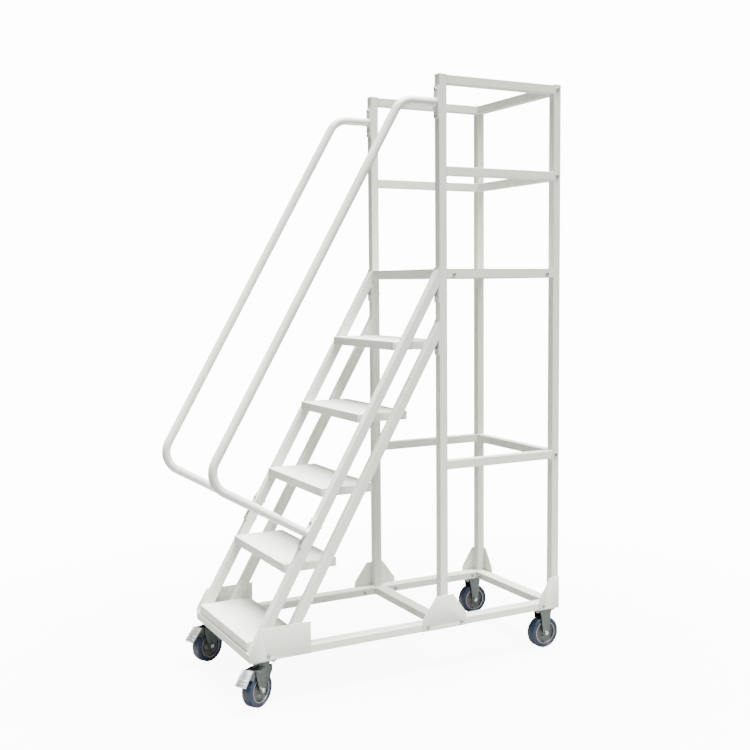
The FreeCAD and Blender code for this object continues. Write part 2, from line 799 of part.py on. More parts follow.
def handrail(hand, side):
    """A bent tube with a bolted flange at each end."""
    body = new_body("handrail_" + hand)
    flange = size("flange_thickness")
    bend = size("rail_bend")
    top = size("rail_top")
    right_angle = Size(90, "90")
    knee_run = bend * tangent(SLOPE / 2)
    corner = (CORNER_Y, CORNER_Z)
    path = new_sketch(body, "YZ_Plane")
    stops = [
        ((-flange, top), (KNEE_Y + knee_run, top)),
        (turn_point((KNEE_Y, top), SLOPE, -knee_run), turn_point(corner, SLOPE, bend)),
        (turn_point(corner, SLOPE - right_angle, bend),
         turn_point((FOOT_Y, size("rail_foot")), SLOPE + right_angle, flange)),
    ]
    for number, ends in enumerate(stops):
        start, end = [FreeCAD.Vector(number_of(y), number_of(z), 0) for y, z in ends]
        path.addGeometry(Part.LineSegment(start, end), False)
        pin_point(path, number, 1, *ends[0])
        pin_point(path, number, 2, *ends[1])
    knee_centre = (KNEE_Y + knee_run, top - bend)
    add_bend(path, 0, 1, knee_centre, right_angle + SLOPE / 2)
    corner_centre = turn_point(turn_point(corner, SLOPE, bend), SLOPE - right_angle, bend)
    add_bend(path, 1, 2, corner_centre, SLOPE + 1.5 * right_angle)
    DOC.recompute()

    ring = new_sketch(body, "XZ_Plane", flange)
    draw_circle(ring, 0, top, size("rail_radius"))
    draw_circle(ring, 0, top, size("rail_radius") - size("rail_wall"))
    pipe = body.newObject("PartDesign::AdditivePipe", body.Name + "_tube")
    pipe.Profile = ring
    pipe.Spine = (path, ["Edge1", "Edge2", "Edge3", "Edge4", "Edge5"])
    DOC.recompute()

    upper = new_sketch(body, "XZ_Plane")
    draw_outline(upper, moved(rectangle(TUBE, size("flange_length")), 0, top))
    for step in (-HALF_TOP_BOLTS, HALF_TOP_BOLTS):
        draw_circle(upper, 0, top + step, size("bolt_hole"))
    add_pad(body, upper, flange)
    lower = sloping_sketch(body, FOOT_Y, size("rail_foot"))
    draw_outline(lower, rectangle(TUBE, size("flange_length")))
    for step in FOOT_BOLT_STEPS:
        draw_circle(lower, 0, step, size("bolt_hole"))
    add_pad(body, lower, flange)
    place(body, side * POST_X, FRONT, 0)


for hand, side in SIDES.items():
    handrail(hand, side)


# ---------------------------------------------------------------- casters
#
# Each piece of a caster is drawn with the kingpin axis at X = Y = 0, the mounting face at
# Z = 0 and the wheel trailing towards -Y.

AXLE_DROP = BASE_LOW - size("wheel_radius")
RIM_RADIUS = size("wheel_radius") - size("tyre_thickness")
TRAIL = size("caster_trail")
LEG_INSIDE = size("hub_width") / 2 + size("fork_gap")
LEG_OUTSIDE = LEG_INSIDE + size("fork_wall")
SWINGS = {"left": size("swing_left"), "right": size("swing_right")}


def place_front_caster(thing, hand, swing):
    place(thing, SIDES[hand] * CASTER_X, CASTER_FRONT_Y, BASE_LOW, turn=swing)


def draw_caster_plate(body):
    sketch = new_sketch(body, "XY_Plane")
    draw_outline(sketch, rectangle(2 * LEG_OUTSIDE, size("plate_length")))
    for x, y in CASTER_BOLTS:
        draw_circle(sketch, x, y, size("bolt_hole"))
    add_pad(body, sketch, size("plate_thickness"), backwards=True)


def add_leg_pair(body, outline, inside, thickness):
    """Two equal plates drawn in Y and Z, on the left and right of the wheel."""
    for side in (-1, 1):
        sketch = new_sketch(body, "YZ_Plane", side * inside)
        draw_outline(sketch, outline)
        add_pad(body, sketch, thickness, backwards=side < 0)


def add_round_pair(body, y, z, radius, inside, thickness):
    for side in (-1, 1):
        sketch = new_sketch(body, "YZ_Plane", side * inside)
        draw_circle(sketch, y, z, radius)
        add_pad(body, sketch, thickness, backwards=side < 0)


def swivel_plate(hand):
    """The mounting plate with the upper race and the kingpin."""
    body = new_body("swivel_plate_" + hand)
    draw_caster_plate(body)
    thickness = size("plate_thickness")
    race = new_sketch(body, "XY_Plane", -thickness)
    draw_circle(race, 0, 0, size("race_radius"))
    add_pad(body, race, size("race_height"), backwards=True)
    crown_low = size("crown_top") + size("crown_thickness")
    pin = new_sketch(body, "XY_Plane", -thickness)
    draw_circle(pin, 0, 0, size("kingpin_radius"))
    add_pad(body, pin, crown_low + size("race_gap") - thickness, backwards=True)
    head = new_sketch(body, "XY_Plane", -crown_low - size("race_gap"))
    draw_circle(head, 0, 0, size("kingpin_head"))
    add_pad(body, head, size("kingpin_radius"), backwards=True)
    place_front_caster(body, hand, 0)


def swivel_fork(hand):
    """A cup round the upper race, a crown plate and two legs."""
    body = new_body("swivel_fork_" + hand)
    crown_top = size("crown_top")
    crown_low = crown_top + size("crown_thickness")
    floor_top = size("plate_thickness") + size("race_height") + size("race_gap")
    cup_top = size("plate_thickness") + size("cup_gap")
    cup = new_sketch(body, "XY_Plane", -crown_top)
    draw_circle(cup, 0, 0, size("cup_radius"))
    add_pad(body, cup, crown_top - cup_top)
    well = new_sketch(body, "XY_Plane", -floor_top)
    draw_circle(well, 0, 0, size("race_radius") + size("race_gap"))
    cut_depth(body, well, floor_top - cup_top, True)
    crown = new_sketch(body, "XY_Plane", -crown_top)
    rear, ahead = -size("crown_front"), size("crown_rear")
    draw_outline(crown, [
        (-LEG_OUTSIDE, rear), (LEG_OUTSIDE, rear), (LEG_OUTSIDE, ahead), (-LEG_OUTSIDE, ahead),
    ])
    add_pad(body, crown, size("crown_thickness"), backwards=True)
    boss = size("fork_boss")
    tail = -size("pivot_place") - size("leg_margin")
    outline = [
        (ahead, -crown_top), (ahead, -2 * crown_top), (boss - TRAIL, -AXLE_DROP),
        (-boss - TRAIL, -AXLE_DROP), (tail, -size("pivot_drop") - size("pivot_margin")), (tail, -crown_top),
    ]
    add_leg_pair(body, outline, LEG_INSIDE, size("fork_wall"))
    add_round_pair(body, -TRAIL, -AXLE_DROP, boss, LEG_INSIDE, size("fork_wall"))
    gap = size("running_gap")
    bore(body, new_sketch(body, "XY_Plane"), [(0, 0)], size("kingpin_radius") + gap)
    bore(body, new_sketch(body, "YZ_Plane"), [(-TRAIL, -AXLE_DROP)], size("axle_radius") + gap)
    bore(body, new_sketch(body, "YZ_Plane"), [(-size("pivot_place"), -size("pivot_drop"))],
         size("pivot_radius") + gap)
    place_front_caster(body, hand, SWINGS[hand])


def rigid_fork(hand):
    """A mounting plate with two fixed legs."""
    body = new_body("rigid_fork_" + hand)
    draw_caster_plate(body)
    boss = size("fork_boss")
    root = size("fork_root") / 2
    thickness = size("plate_thickness")
    outline = [
        (-root, -thickness), (-boss, -AXLE_DROP), (boss, -AXLE_DROP), (root, -thickness),
    ]
    add_leg_pair(body, outline, LEG_INSIDE, size("fork_wall"))
    add_round_pair(body, 0, -AXLE_DROP, boss, LEG_INSIDE, size("fork_wall"))
    bore(body, new_sketch(body, "YZ_Plane"), [(0, -AXLE_DROP)], size("axle_radius") + size("running_gap"))
    place(body, SIDES[hand] * CASTER_X, CASTER_REAR_Y, BASE_LOW)


def brake_pedal(hand):
    """A foot plate on two cheeks that carry the shoe and turn on a pin through the fork."""
    body = new_body("brake_pedal_" + hand)
    pivot = (-size("pivot_place"), -size("pivot_drop"))
    pin_length = 2 * (LEG_OUTSIDE + size("pin_end"))
    pin = new_sketch(body, "YZ_Plane", -pin_length / 2)
    draw_circle(pin, *pivot, size("pivot_radius"))
    add_pad(body, pin, pin_length)

    steep = size("shoe_angle")
    reach = size("wheel_radius") + size("shoe_gap")
    half = size("shoe_length") / 2
    outward = steep + Size(90, "90")
    contact = turn_point((-TRAIL, -AXLE_DROP), outward, reach)
    near = turn_point(contact, steep, half)
    far = turn_point(contact, steep, -half)
    near_back = turn_point(near, outward, size("shoe_thickness"))
    far_back = turn_point(far, outward, size("shoe_thickness"))
    cheek_outside = LEG_INSIDE - size("cheek_gap")
    cheek_inside = cheek_outside - size("cheek_wall")
    shoe = new_sketch(body, "YZ_Plane", -cheek_inside)
    draw_outline(shoe, [near, near_back, far_back, far])
    add_pad(body, shoe, 2 * cheek_inside)

    start = (-size("pedal_near"), -size("pedal_near_drop"))
    end = (-size("pedal_far"), -size("pedal_far_drop"))
    thick = size("pedal_thickness")
    tread_angle = size("pedal_angle")
    under_start = turn_point(start, -tread_angle, thick)
    under_end = turn_point(end, -tread_angle, thick)
    plate = new_sketch(body, "YZ_Plane", -size("pedal_width") / 2)
    draw_outline(plate, [start, end, under_end, under_start])
    add_pad(body, plate, size("pedal_width"))

    boss = size("pivot_boss")
    outline = [
        (pivot[0] + boss / 2, pivot[1] + boss * 0.8), under_start,
        ((under_start[0] + under_end[0]) / 2, (under_start[1] + under_end[1]) / 2),
        far_back, far, near, (pivot[0] + boss / 2, pivot[1] - boss * 0.8),
    ]
    add_leg_pair(body, outline, cheek_inside, size("cheek_wall"))
    add_round_pair(body, *pivot, boss, cheek_inside, size("cheek_wall"))
    place_front_caster(body, hand, SWINGS[hand])


def wheel_core(name):
    """Hub, web and rim, turned about X."""
    body = new_body(name)
    sketch = new_sketch(body, "XY_Plane")
    bore_radius = size("axle_radius") + size("running_gap")
    hub, hub_end = size("hub_radius"), size("hub_width") / 2
    web_end = size("web_width") / 2
    rim, rim_end = RIM_RADIUS, size("rim_width") / 2
    inner = rim - size("rim_thickness")
    right = [(hub_end, bore_radius), (hub_end, hub), (web_end, hub), (web_end, inner), (rim_end, inner),
             (rim_end, rim)]
    left = [(-x, y) for x, y in reversed(right)]
    draw_outline(sketch, right + left)
    add_turning(body, sketch)
    return body


def tyre(name):
    body = new_body(name)
    sketch = new_sketch(body, "XY_Plane")
    half = size("tyre_width") / 2
    inside, outside = RIM_RADIUS, size("wheel_radius")
    draw_outline(sketch, [(-half, inside), (half, inside), (half, outside), (-half, outside)])
    solid = add_turning(body, sketch)
    middle = number_of(inside + outside) / 2

    def tread_shoulder(edge):
        return is_circle(edge) and edge.Curve.Radius > middle

    round_edges(body, solid, tread_shoulder, size("tyre_round"))
    return body


def is_circle(edge):
    return edge.Curve.TypeId == "Part::GeomCircle"


def add_turning(body, sketch):
    turning = body.newObject("PartDesign::Revolution", body.Name + "_turning")
    turning.Profile = sketch
    turning.ReferenceAxis = (sketch, ["H_Axis"])
    turning.Angle = 360
    return turning


def axle(name):
    """A plain shaft with a hexagon at each end, against the fork legs."""
    shaft = DOC.addObject("Part::Cylinder", name + "_shaft")
    bind(shaft, "Radius", size("axle_radius"))
    bind(shaft, "Height", 2 * LEG_OUTSIDE)
    place(shaft, 0, 0, -LEG_OUTSIDE)
    heads = []
    for low in (-LEG_OUTSIDE - size("axle_head"), LEG_OUTSIDE):
        head = DOC.addObject("Part::Prism", name + "_head")
        head.Polygon = 6
        bind(head, "Circumradius", size("axle_hex_radius"))
        bind(head, "Height", size("axle_head"))
        place(head, 0, 0, low)
        heads.append(head)
    lying = DOC.addObject("Part::MultiFuse", name + "_lying")
    lying.Shapes = [shaft] + heads
    along_x = FreeCAD.Rotation(FreeCAD.Vector(0, 1, 0), 90)
    lying.Placement = FreeCAD.Placement(FreeCAD.Vector(0, 0, 0), along_x)
    whole = DOC.addObject("Part::Compound", name)
    whole.Links = [lying]
    return whole


def place_wheel(thing, hand, row):
    """Puts a piece drawn about the wheel's centre at one of the four wheels."""
    x = SIDES[hand] * CASTER_X
    if row == "rear":
        place(thing, x, CASTER_REAR_Y, size("wheel_radius"))
        return
    swing = SWINGS[hand]
    y = CASTER_FRONT_Y - TRAIL * cosine(swing)
    place(thing, x + TRAIL * sine(swing), y, size("wheel_radius"), turn=swing)


rear_axles = []
for hand in SIDES:
    swivel_plate(hand)
    swivel_fork(hand)
    rigid_fork(hand)
    brake_pedal(hand)
    for row in ("front", "rear"):
        place_wheel(wheel_core("wheel_core_{}_{}".format(row, hand)), hand, row)
        place_wheel(tyre("tyre_{}_{}".format(row, hand)), hand, row)
    front_axle = axle("front_axle_" + hand)
    front_axle.Label = "front_axle_" + hand
    place_wheel(front_axle, hand, "front")
    SUBPARTS.append(front_axle)
    rear_axle = axle("one_rear_axle_" + hand)
    place_wheel(rear_axle, hand, "rear")
    rear_axles.append(rear_axle)
gather("rear_axles", rear_axles)


# ---------------------------------------------------------------- bolts

ACROSS = FreeCAD.Vector(0, 1, 0)
ALONG = FreeCAD.Vector(1, 0, 0)


def bolt_ring(radius, height, low, kind="Part::Cylinder"):
    """One washer, hexagon or shank of a bolt, on the bolt's own +Z axis."""
    ring = DOC.addObject(kind, "bolt_piece")
    if kind == "Part::Prism":
        ring.Polygon = 6
        bind(ring, "Circumradius", radius)
    else:
        bind(ring, "Radius", radius)
    bind(ring, "Height", height)
    place(ring, 0, 0, low)
    return ring


def hex_bolt(spot, axis, turn, grip, with_nut=True):
    """A hexagon bolt whose head bears at the spot; the shank runs along the turned +Z axis."""
    washer = size("washer_thickness")
    head = washer + size("head_height")
    pieces = [
        bolt_ring(size("hex_radius"), size("head_height"), -head, "Part::Prism"),
        bolt_ring(size("washer_radius"), washer, -washer),
    ]
    end = grip + size("bolt_tail")
    if with_nut:
        pieces.append(bolt_ring(size("washer_radius"), washer, grip))
        pieces.append(bolt_ring(size("hex_radius"), size("nut_height"), grip + washer, "Part::Prism"))
        end = end + washer + size("nut_height")
    pieces.append(bolt_ring(size("bolt_radius"), head + end, -head))
    bolt = DOC.addObject("Part::MultiFuse", "bolt")
    bolt.Shapes = pieces
    place(bolt, *spot, axis, turn)
    return bolt


def all_bolts():
    bolts = []
    outside = HALF + size("gusset_thickness")
    base_grip = size("base_width") + size("gusset_thickness")
    post_grip = TUBE + size("end_plate")
    handrail_grip = TUBE + size("flange_thickness")
    plate_low = BASE_LOW - size("plate_thickness")
    for side in SIDES.values():
        inwards = -90 * side
        for z in RAIL_HEIGHTS:
            grip = TUBE + size("plug_thickness")
            bolts.append(hex_bolt((side * HALF, POST_REAR_Y, z), ACROSS, inwards, grip, False))
        for y in SIDE_RAIL_BOLTS:
            z = PLATFORM_RAIL_TOP - TUBE / 2
            bolts.append(hex_bolt((side * HALF, FRONT + TUBE + y, z), ACROSS, inwards, TUBE))
        for y in SIDE_GUSSET_BOLTS:
            bolts.append(hex_bolt((side * outside, y, BASE_MIDDLE), ACROSS, inwards, base_grip))
        rear = TOWER_REAR + size("gusset_thickness")
        bolts.append(hex_bolt((side * REAR_GUSSET_BOLT_X, rear, BASE_MIDDLE), ALONG, 90, base_grip))
        for z in STRINGER_BOLTS:
            bolts.append(hex_bolt((side * POST_X, FRONT - size("end_plate"), z), ALONG, -90, post_grip))
        for z in FLANGE_BOLTS:
            ahead = FRONT - size("flange_thickness")
            bolts.append(hex_bolt((side * POST_X, ahead, z), ALONG, -90, handrail_grip))
        for step in FOOT_BOLT_STEPS:
            y, z = turn_point((FRONT + FOOT_Y, size("rail_foot")), SLOPE, step)
            y, z = turn_point((y, z), SLOPE + Size(90, "90"), size("flange_thickness"))
            bolts.append(hex_bolt((side * POST_X, y, z), ALONG, SLOPE + Size(180, "180"), handrail_grip))
        for caster_y in (CASTER_FRONT_Y, CASTER_REAR_Y):
            for x, y in CASTER_BOLTS:
                spot = (side * CASTER_X + x, caster_y + y, plate_low)
                bolts.append(hex_bolt(spot, ACROSS, 0, size("plate_thickness") + size("tube_wall")))
    return bolts


gather("hex_bolts", all_bolts())

DOC.recompute()
for thing in DOC.Objects:
    troubles = [state for state in thing.State if state in ("Invalid", "Error")]
    if troubles:
        raise RuntimeError("{} did not compute: {}".format(thing.Label, troubles))

os.makedirs("parts", exist_ok=True)
for part in SUBPARTS:
    if part.Shape.isNull() or not part.Shape.isValid():
        raise RuntimeError("{} has no valid shape".format(part.Label))
    part.Shape.exportStep("parts/{}.step".format(part.Label))
    print(part.Label, "volume", round(part.Shape.Volume))
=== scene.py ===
# %% [markdown]
# # A rolling warehouse ladder
# The ladder is a tower of square steel tube with a deck to stand on, a stair of folded
# sheet treads, two bent handrails and four casters.  The exact model brings every piece
# in its place; this lesson gives the pieces their finishes and adds the small shapes that
# a workshop leaves behind: rounded sheet edges, weld beads, turned wheels, pressed ribs.

import json
import math

import bmesh
import bpy
from mathutils import Matrix, Quaternion, Vector


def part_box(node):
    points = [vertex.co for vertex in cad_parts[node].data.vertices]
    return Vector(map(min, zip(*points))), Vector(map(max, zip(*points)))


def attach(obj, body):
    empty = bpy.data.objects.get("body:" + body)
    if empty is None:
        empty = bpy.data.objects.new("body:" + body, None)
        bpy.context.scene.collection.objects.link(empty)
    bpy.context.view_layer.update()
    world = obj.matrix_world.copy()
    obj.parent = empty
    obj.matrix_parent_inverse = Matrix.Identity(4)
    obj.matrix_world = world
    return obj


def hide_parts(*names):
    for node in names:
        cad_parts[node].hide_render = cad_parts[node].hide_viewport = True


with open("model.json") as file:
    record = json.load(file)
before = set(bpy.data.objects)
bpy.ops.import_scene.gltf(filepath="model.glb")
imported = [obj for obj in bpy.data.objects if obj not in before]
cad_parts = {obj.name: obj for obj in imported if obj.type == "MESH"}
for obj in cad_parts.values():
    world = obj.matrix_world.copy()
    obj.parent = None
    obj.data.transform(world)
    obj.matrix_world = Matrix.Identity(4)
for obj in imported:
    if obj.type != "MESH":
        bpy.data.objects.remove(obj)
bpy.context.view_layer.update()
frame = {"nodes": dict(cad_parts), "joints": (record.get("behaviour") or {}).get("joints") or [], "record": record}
NODES = frame["nodes"]
JOINTS = {joint["name"]: joint for joint in frame["joints"]}
MM = 0.001

# %% [markdown]
# ## Camera
# The ladder is seen from its right front, from about the height of the deck.  A camera
# is placed by three things: where it stands, which way it looks, and how far it leans.

# %% Camera
HEADING = math.radians(62.28)
PITCH = math.radians(4.88)
ROLL = math.radians(-0.50)
STAND = (4.3555, -2.2331, 1.7478)
SENSOR_WIDTH, FOCAL_LENGTH = 36, 50.85

lens = bpy.data.cameras.new("studio_camera")
lens.sensor_width = SENSOR_WIDTH
lens.lens = FOCAL_LENGTH
camera = bpy.data.objects.new("studio_camera", lens)
bpy.context.scene.collection.objects.link(camera)
bpy.context.scene.camera = camera

looking = Vector((-math.sin(HEADING), math.cos(HEADING), -math.tan(PITCH)))
camera.rotation_mode = "QUATERNION"
camera.rotation_quaternion = looking.to_track_quat("-Z", "Y") @ Quaternion((0, 0, 1), ROLL)
camera.location = STAND
print("camera at", tuple(camera.location))

# %% [markdown]
# ## Writing shader maths as sums
# A material is a web of nodes.  A small class wraps a socket so that masks can be added,
# scaled and subtracted like numbers, and each sum adds its own Math node.  Wiring each
# node by hand would work as well, but it would hide what the mask is for.

# %% Sockets that can be calculated with
class Wire:
    """An output socket, or a sum of such sockets, in one material."""

    def __init__(self, recipe, socket):
        self.recipe = recipe
        self.socket = socket

    def __add__(self, other):
        return self.recipe.maths("ADD", self, other)

    def __mul__(self, other):
        return self.recipe.maths("MULTIPLY", self, other)

    def __rsub__(self, other):
        return self.recipe.maths("SUBTRACT", other, self)

    __radd__ = __add__


class Recipe:
    """A material built up one node at a time."""

    def __init__(self, name):
        self.material = bpy.data.materials.new(name)
        self.material.use_nodes = True
        self.tree = self.material.node_tree
        self.shader = self.tree.nodes["Principled BSDF"]
        self.place = self.node("ShaderNodeTexCoord", {}, {}, "Object")

    def node(self, kind, settings, inputs, output):
        """Adds a node, sets it up, feeds its sockets and returns one of its outputs."""
        added = self.tree.nodes.new(kind)
        for key, value in settings.items():
            if key == "stops":
                self.set_stops(added.color_ramp, value)
            else:
                setattr(added, key, value)
        for key, value in inputs.items():
            self.feed(added.inputs[key], value)
        return Wire(self, added.outputs[output])

    def set_stops(self, ramp, stops):
        """Gives a colour ramp its grey stops, each a position and a level."""
        while len(ramp.elements) < len(stops):
            ramp.elements.new(1.0)
        for element, (position, level) in zip(ramp.elements, stops):
            element.position = position
            element.color = (level, level, level, 1)

    def feed(self, socket, value):
        if isinstance(value, Wire):
            self.tree.links.new(value.socket, socket)
        else:
            socket.default_value = value

    def maths(self, operation, first, second):
        return self.node("ShaderNodeMath", {"operation": operation}, {0: first, 1: second}, 0)

    def noise(self, scale, detail=2.0, roughness=0.5, at=None):
        inputs = {
            "Vector": at or self.place, "Scale": scale, "Detail": detail, "Roughness": roughness
        }
        return self.node("ShaderNodeTexNoise", {}, inputs, "Fac")

    def stretched(self, scale):
        """The piece's own coordinates, drawn out differently along X, Y and Z."""
        return self.node("ShaderNodeMapping", {}, {"Vector": self.place, "Scale": scale}, "Vector")

    def mask(self, value, low, high):
        """0 below low, 1 above high, and a ramp between them."""
        ramp = {"stops": [(low, 0.0), (high, 1.0)]}
        return self.node("ShaderNodeValToRGB", ramp, {"Fac": value}, "Color")

    def mix(self, share, first, second):
        """The first colour where share is 0, the second where it is 1."""
        added = self.tree.nodes.new("ShaderNodeMix")
        added.data_type = "RGBA"
        colours = [socket for socket in added.inputs if socket.type == "RGBA"]
        self.feed(added.inputs[0], share)
        self.feed(colours[0], first)
        self.feed(colours[1], second)
        return Wire(self, [socket for socket in added.outputs if socket.type == "RGBA"][0])

    def bump(self, height, strength, distance):
        inputs = {"Height": height, "Strength": strength, "Distance": distance}
        self.feed(self.shader.inputs["Normal"], self.node("ShaderNodeBump", {}, inputs, "Normal"))

    def finish(self, **sockets):
        for name, value in sockets.items():
            self.feed(self.shader.inputs[name.replace("_", " ")], value)
        return self.material


def tint(red, green, blue):
    return (red, green, blue, 1)


print("materials can be written as sums")

# %% [markdown]
# ## Studio
# White paint shows its shape only by soft differences between its faces, so the light is
# broad and uneven.  The floor is a pale disc whose rim thins out into a white backdrop.
# It is see-through everywhere, because a solid white floor would throw too much light up
# at the base.

# %% Floor
floor_recipe = Recipe("studio_floor_paint")
FLOOR_RADIUS = 3.4
FLOOR_COVER = 0.34  # how much of the backdrop the floor hides at its middle
reach = floor_recipe.node(
    "ShaderNodeTexGradient", {"gradient_type": "SPHERICAL"},
    {"Vector": floor_recipe.stretched((1 / FLOOR_RADIUS,) * 3)}, "Fac",
)
floor_paint = floor_recipe.finish(
    Base_Color=tint(0.80, 0.80, 0.79), Roughness=0.9,
    Alpha=floor_recipe.mask(reach, 0.08, 0.62) * FLOOR_COVER,
)
floor_mesh = bmesh.new()
bmesh.ops.create_circle(floor_mesh, segments=96, radius=FLOOR_RADIUS, cap_ends=True)
floor_data = bpy.data.meshes.new("studio_floor")
floor_mesh.to_mesh(floor_data)
floor_mesh.free()
floor = bpy.data.objects.new("studio_floor", floor_data)
bpy.context.scene.collection.objects.link(floor)
floor_data.materials.append(floor_paint)
print("floor is", 2 * FLOOR_RADIUS, "m across")

# %% [markdown]
# ## Lamps and backdrop
# A soft sun stands almost overhead, a large lamp shines from the near side and a faint
# warm one from the front.  Light from three sides gives each side of a square tube its own
# tone.  The backdrop has one strength for the eye and a far weaker one for the ladder, so
# it looks white but hardly lights the paint.

# %% Lamps and backdrop
MIDDLE = (0, 0, 1.2)


def lamp(kind, name, place, power, colour, **settings):
    """A lamp of any kind that shines from its place towards the ladder's middle."""
    light = bpy.data.lights.new(name, kind)
    light.energy = power
    light.color = colour
    for key, value in settings.items():
        setattr(light, key, value)
    holder = bpy.data.objects.new(name, light)
    bpy.context.scene.collection.objects.link(holder)
    holder.location = place
    holder.rotation_mode = "QUATERNION"
    holder.rotation_quaternion = (Vector(MIDDLE) - Vector(place)).to_track_quat("-Z", "Y")


lamp(
    "SUN", "soft_sun", place=(0.6, 0.9, 8.2), power=27.0, colour=(1.0, 0.995, 0.98),
    angle=math.radians(44),
)
lamp(
    "AREA", "near_side_lamp", place=(7.0, 2.2, 3.0), power=190, colour=(0.98, 1.0, 0.995), size=4.0
)
lamp(
    "AREA", "front_lamp", place=(-1.0, -7.0, 2.4), power=30, colour=(1.0, 0.92, 0.80), size=3.0
)

BACKDROP, FILL = 14.0, 0.30
surround = bpy.data.worlds.new("studio_surround")
surround.use_nodes = True
sky = surround.node_tree
sky.nodes["Background"].inputs["Color"].default_value = (1, 1, 1, 1)
rays = sky.nodes.new("ShaderNodeLightPath")
level = sky.nodes.new("ShaderNodeMapRange")
level.inputs["To Min"].default_value = FILL
level.inputs["To Max"].default_value = BACKDROP
sky.links.new(rays.outputs["Is Camera Ray"], level.inputs["Value"])
sky.links.new(level.outputs["Result"], sky.nodes["Background"].inputs["Strength"])
bpy.context.scene.world = surround

# %% [markdown]
# ## Powder coat
# Powder coat is sprayed on dry and melted in an oven.  It flows out into a skin with a
# fine orange peel, a little uneven in gloss, and handling leaves faint grey rubs.  The
# peel is a bump that repeats about every millimetre; the rubs are long thin noise kept
# very weak.  Treads and handrails are given a lighter coat colour than the rest, which
# is painted light: it stands in for the brighter light on the tread tops and for the
# highlight down the handrails.  The handrails are also smoothest, because hands polish them.

# %% Powder coat
COAT = tint(0.70, 0.72, 0.645)
COAT_THIN = tint(0.655, 0.670, 0.595)
RUB = tint(0.47, 0.475, 0.45)


def powder_coat(name, rubs, direction=(1, 1, 1), coat=COAT, smoothest=0.36):
    """Off-white paint; rubs sets how used it looks and direction how the marks run."""
    recipe = Recipe(name)
    cloud = recipe.noise(scale=2.6, detail=4.0, roughness=0.6)
    speckle = recipe.noise(scale=160.0, detail=3.0, roughness=0.7)
    colour = recipe.mix(recipe.mask(cloud, 0.35, 0.75), coat, COAT_THIN)
    marks = recipe.noise(scale=46.0, detail=6.0, roughness=0.72, at=recipe.stretched(direction))
    patches = recipe.mask(recipe.noise(scale=7.0), 0.45, 0.7)
    worn = recipe.mask(marks, 0.60, 0.72) * patches * rubs
    colour = recipe.mix(worn, colour, RUB)
    colour = recipe.mix(recipe.mask(speckle, 0.66, 0.80) * 0.10, colour, RUB)
    peel = recipe.noise(scale=850.0, roughness=0.4)
    ripple = recipe.noise(scale=120.0)
    recipe.bump(peel * 0.35 + ripple * 0.65, strength=0.22, distance=0.4 * MM)
    gloss = smoothest + cloud * 0.10 + speckle * 0.06 + worn * 0.3
    return recipe.finish(Base_Color=colour, Roughness=gloss)


tube_coat = powder_coat("tube_powder_coat", rubs=0.25, direction=(0.6, 0.6, 0.12))
slope_coat = powder_coat("stringer_powder_coat", rubs=0.32, direction=(1.0, 0.3, 0.3))
level_coat = powder_coat("rail_powder_coat", rubs=0.22, direction=(0.25, 0.25, 1.0))
# The treads' lighter coat colour is painted light for their brightly lit tops.
tread_coat_painted_light = powder_coat(
    "tread_powder_coat", rubs=0.55, direction=(0.18, 1.0, 1.0), coat=tint(0.80, 0.815, 0.75)
)
deck_coat = powder_coat("deck_powder_coat", rubs=0.50, direction=(0.5, 0.2, 1.0))
plate_coat = powder_coat("gusset_powder_coat", rubs=0.40, direction=(1.0, 0.5, 1.0))
bead_coat = powder_coat("weld_powder_coat", rubs=0.0)
# The handrails' lighter, cooler coat colour is a painted highlight.
handrail_coat_painted_highlight = powder_coat(
    "handrail_powder_coat", rubs=0.15, direction=(0.6, 0.6, 0.12),
    coat=tint(0.80, 0.825, 0.79), smoothest=0.20,
)
print("powder coats mixed")

# %% [markdown]
# ## Zinc plate
# Small steel parts are zinc plated: bluish grey crystals a few millimetres wide, brushed
# by handling.  Cells of noise give the crystals and drawn-out noise the brushing.  The
# forks are the darkest, partly from their own darker plating and partly as painted shade
# for the shadow of the frame above them.  The foot plates of the brakes are the brightest.

# %% Zinc plate
GRIME = tint(0.16, 0.155, 0.14)
GRAIN_DEPTH = 0.3 * MM


def plated_steel(name, bright, dark, crystals, brushed, gloss):
    """Zinc plate: angular crystals mixed with fine brushing along one direction."""
    recipe = Recipe(name)
    pattern = {"Vector": recipe.place, "Scale": crystals}
    cells = recipe.node("ShaderNodeTexVoronoi", {"feature": "F1"}, pattern, "Color")
    level = recipe.node("ShaderNodeSeparateColor", {}, {"Color": cells}, "Red")
    lines = recipe.noise(scale=190.0, detail=4.0, roughness=0.6, at=recipe.stretched(brushed))
    grime = recipe.mask(recipe.noise(scale=22.0, detail=5.0, roughness=0.65), 0.52, 0.78)
    colour = recipe.mix(level * 0.6 + lines * 0.4, dark, bright)
    colour = recipe.mix(grime * 0.35, colour, GRIME)
    recipe.bump(lines * 0.6 + level * 0.2, strength=0.08, distance=GRAIN_DEPTH)
    rough = gloss + level * 0.10 + grime * 0.22
    return recipe.finish(Base_Color=colour, Roughness=rough, Metallic=1.0 - grime * 0.25)


bolt_zinc = plated_steel(
    "bolt_zinc", bright=tint(0.46, 0.47, 0.46), dark=tint(0.26, 0.27, 0.27),
    crystals=260.0, brushed=(1, 1, 0.1), gloss=0.26,
)
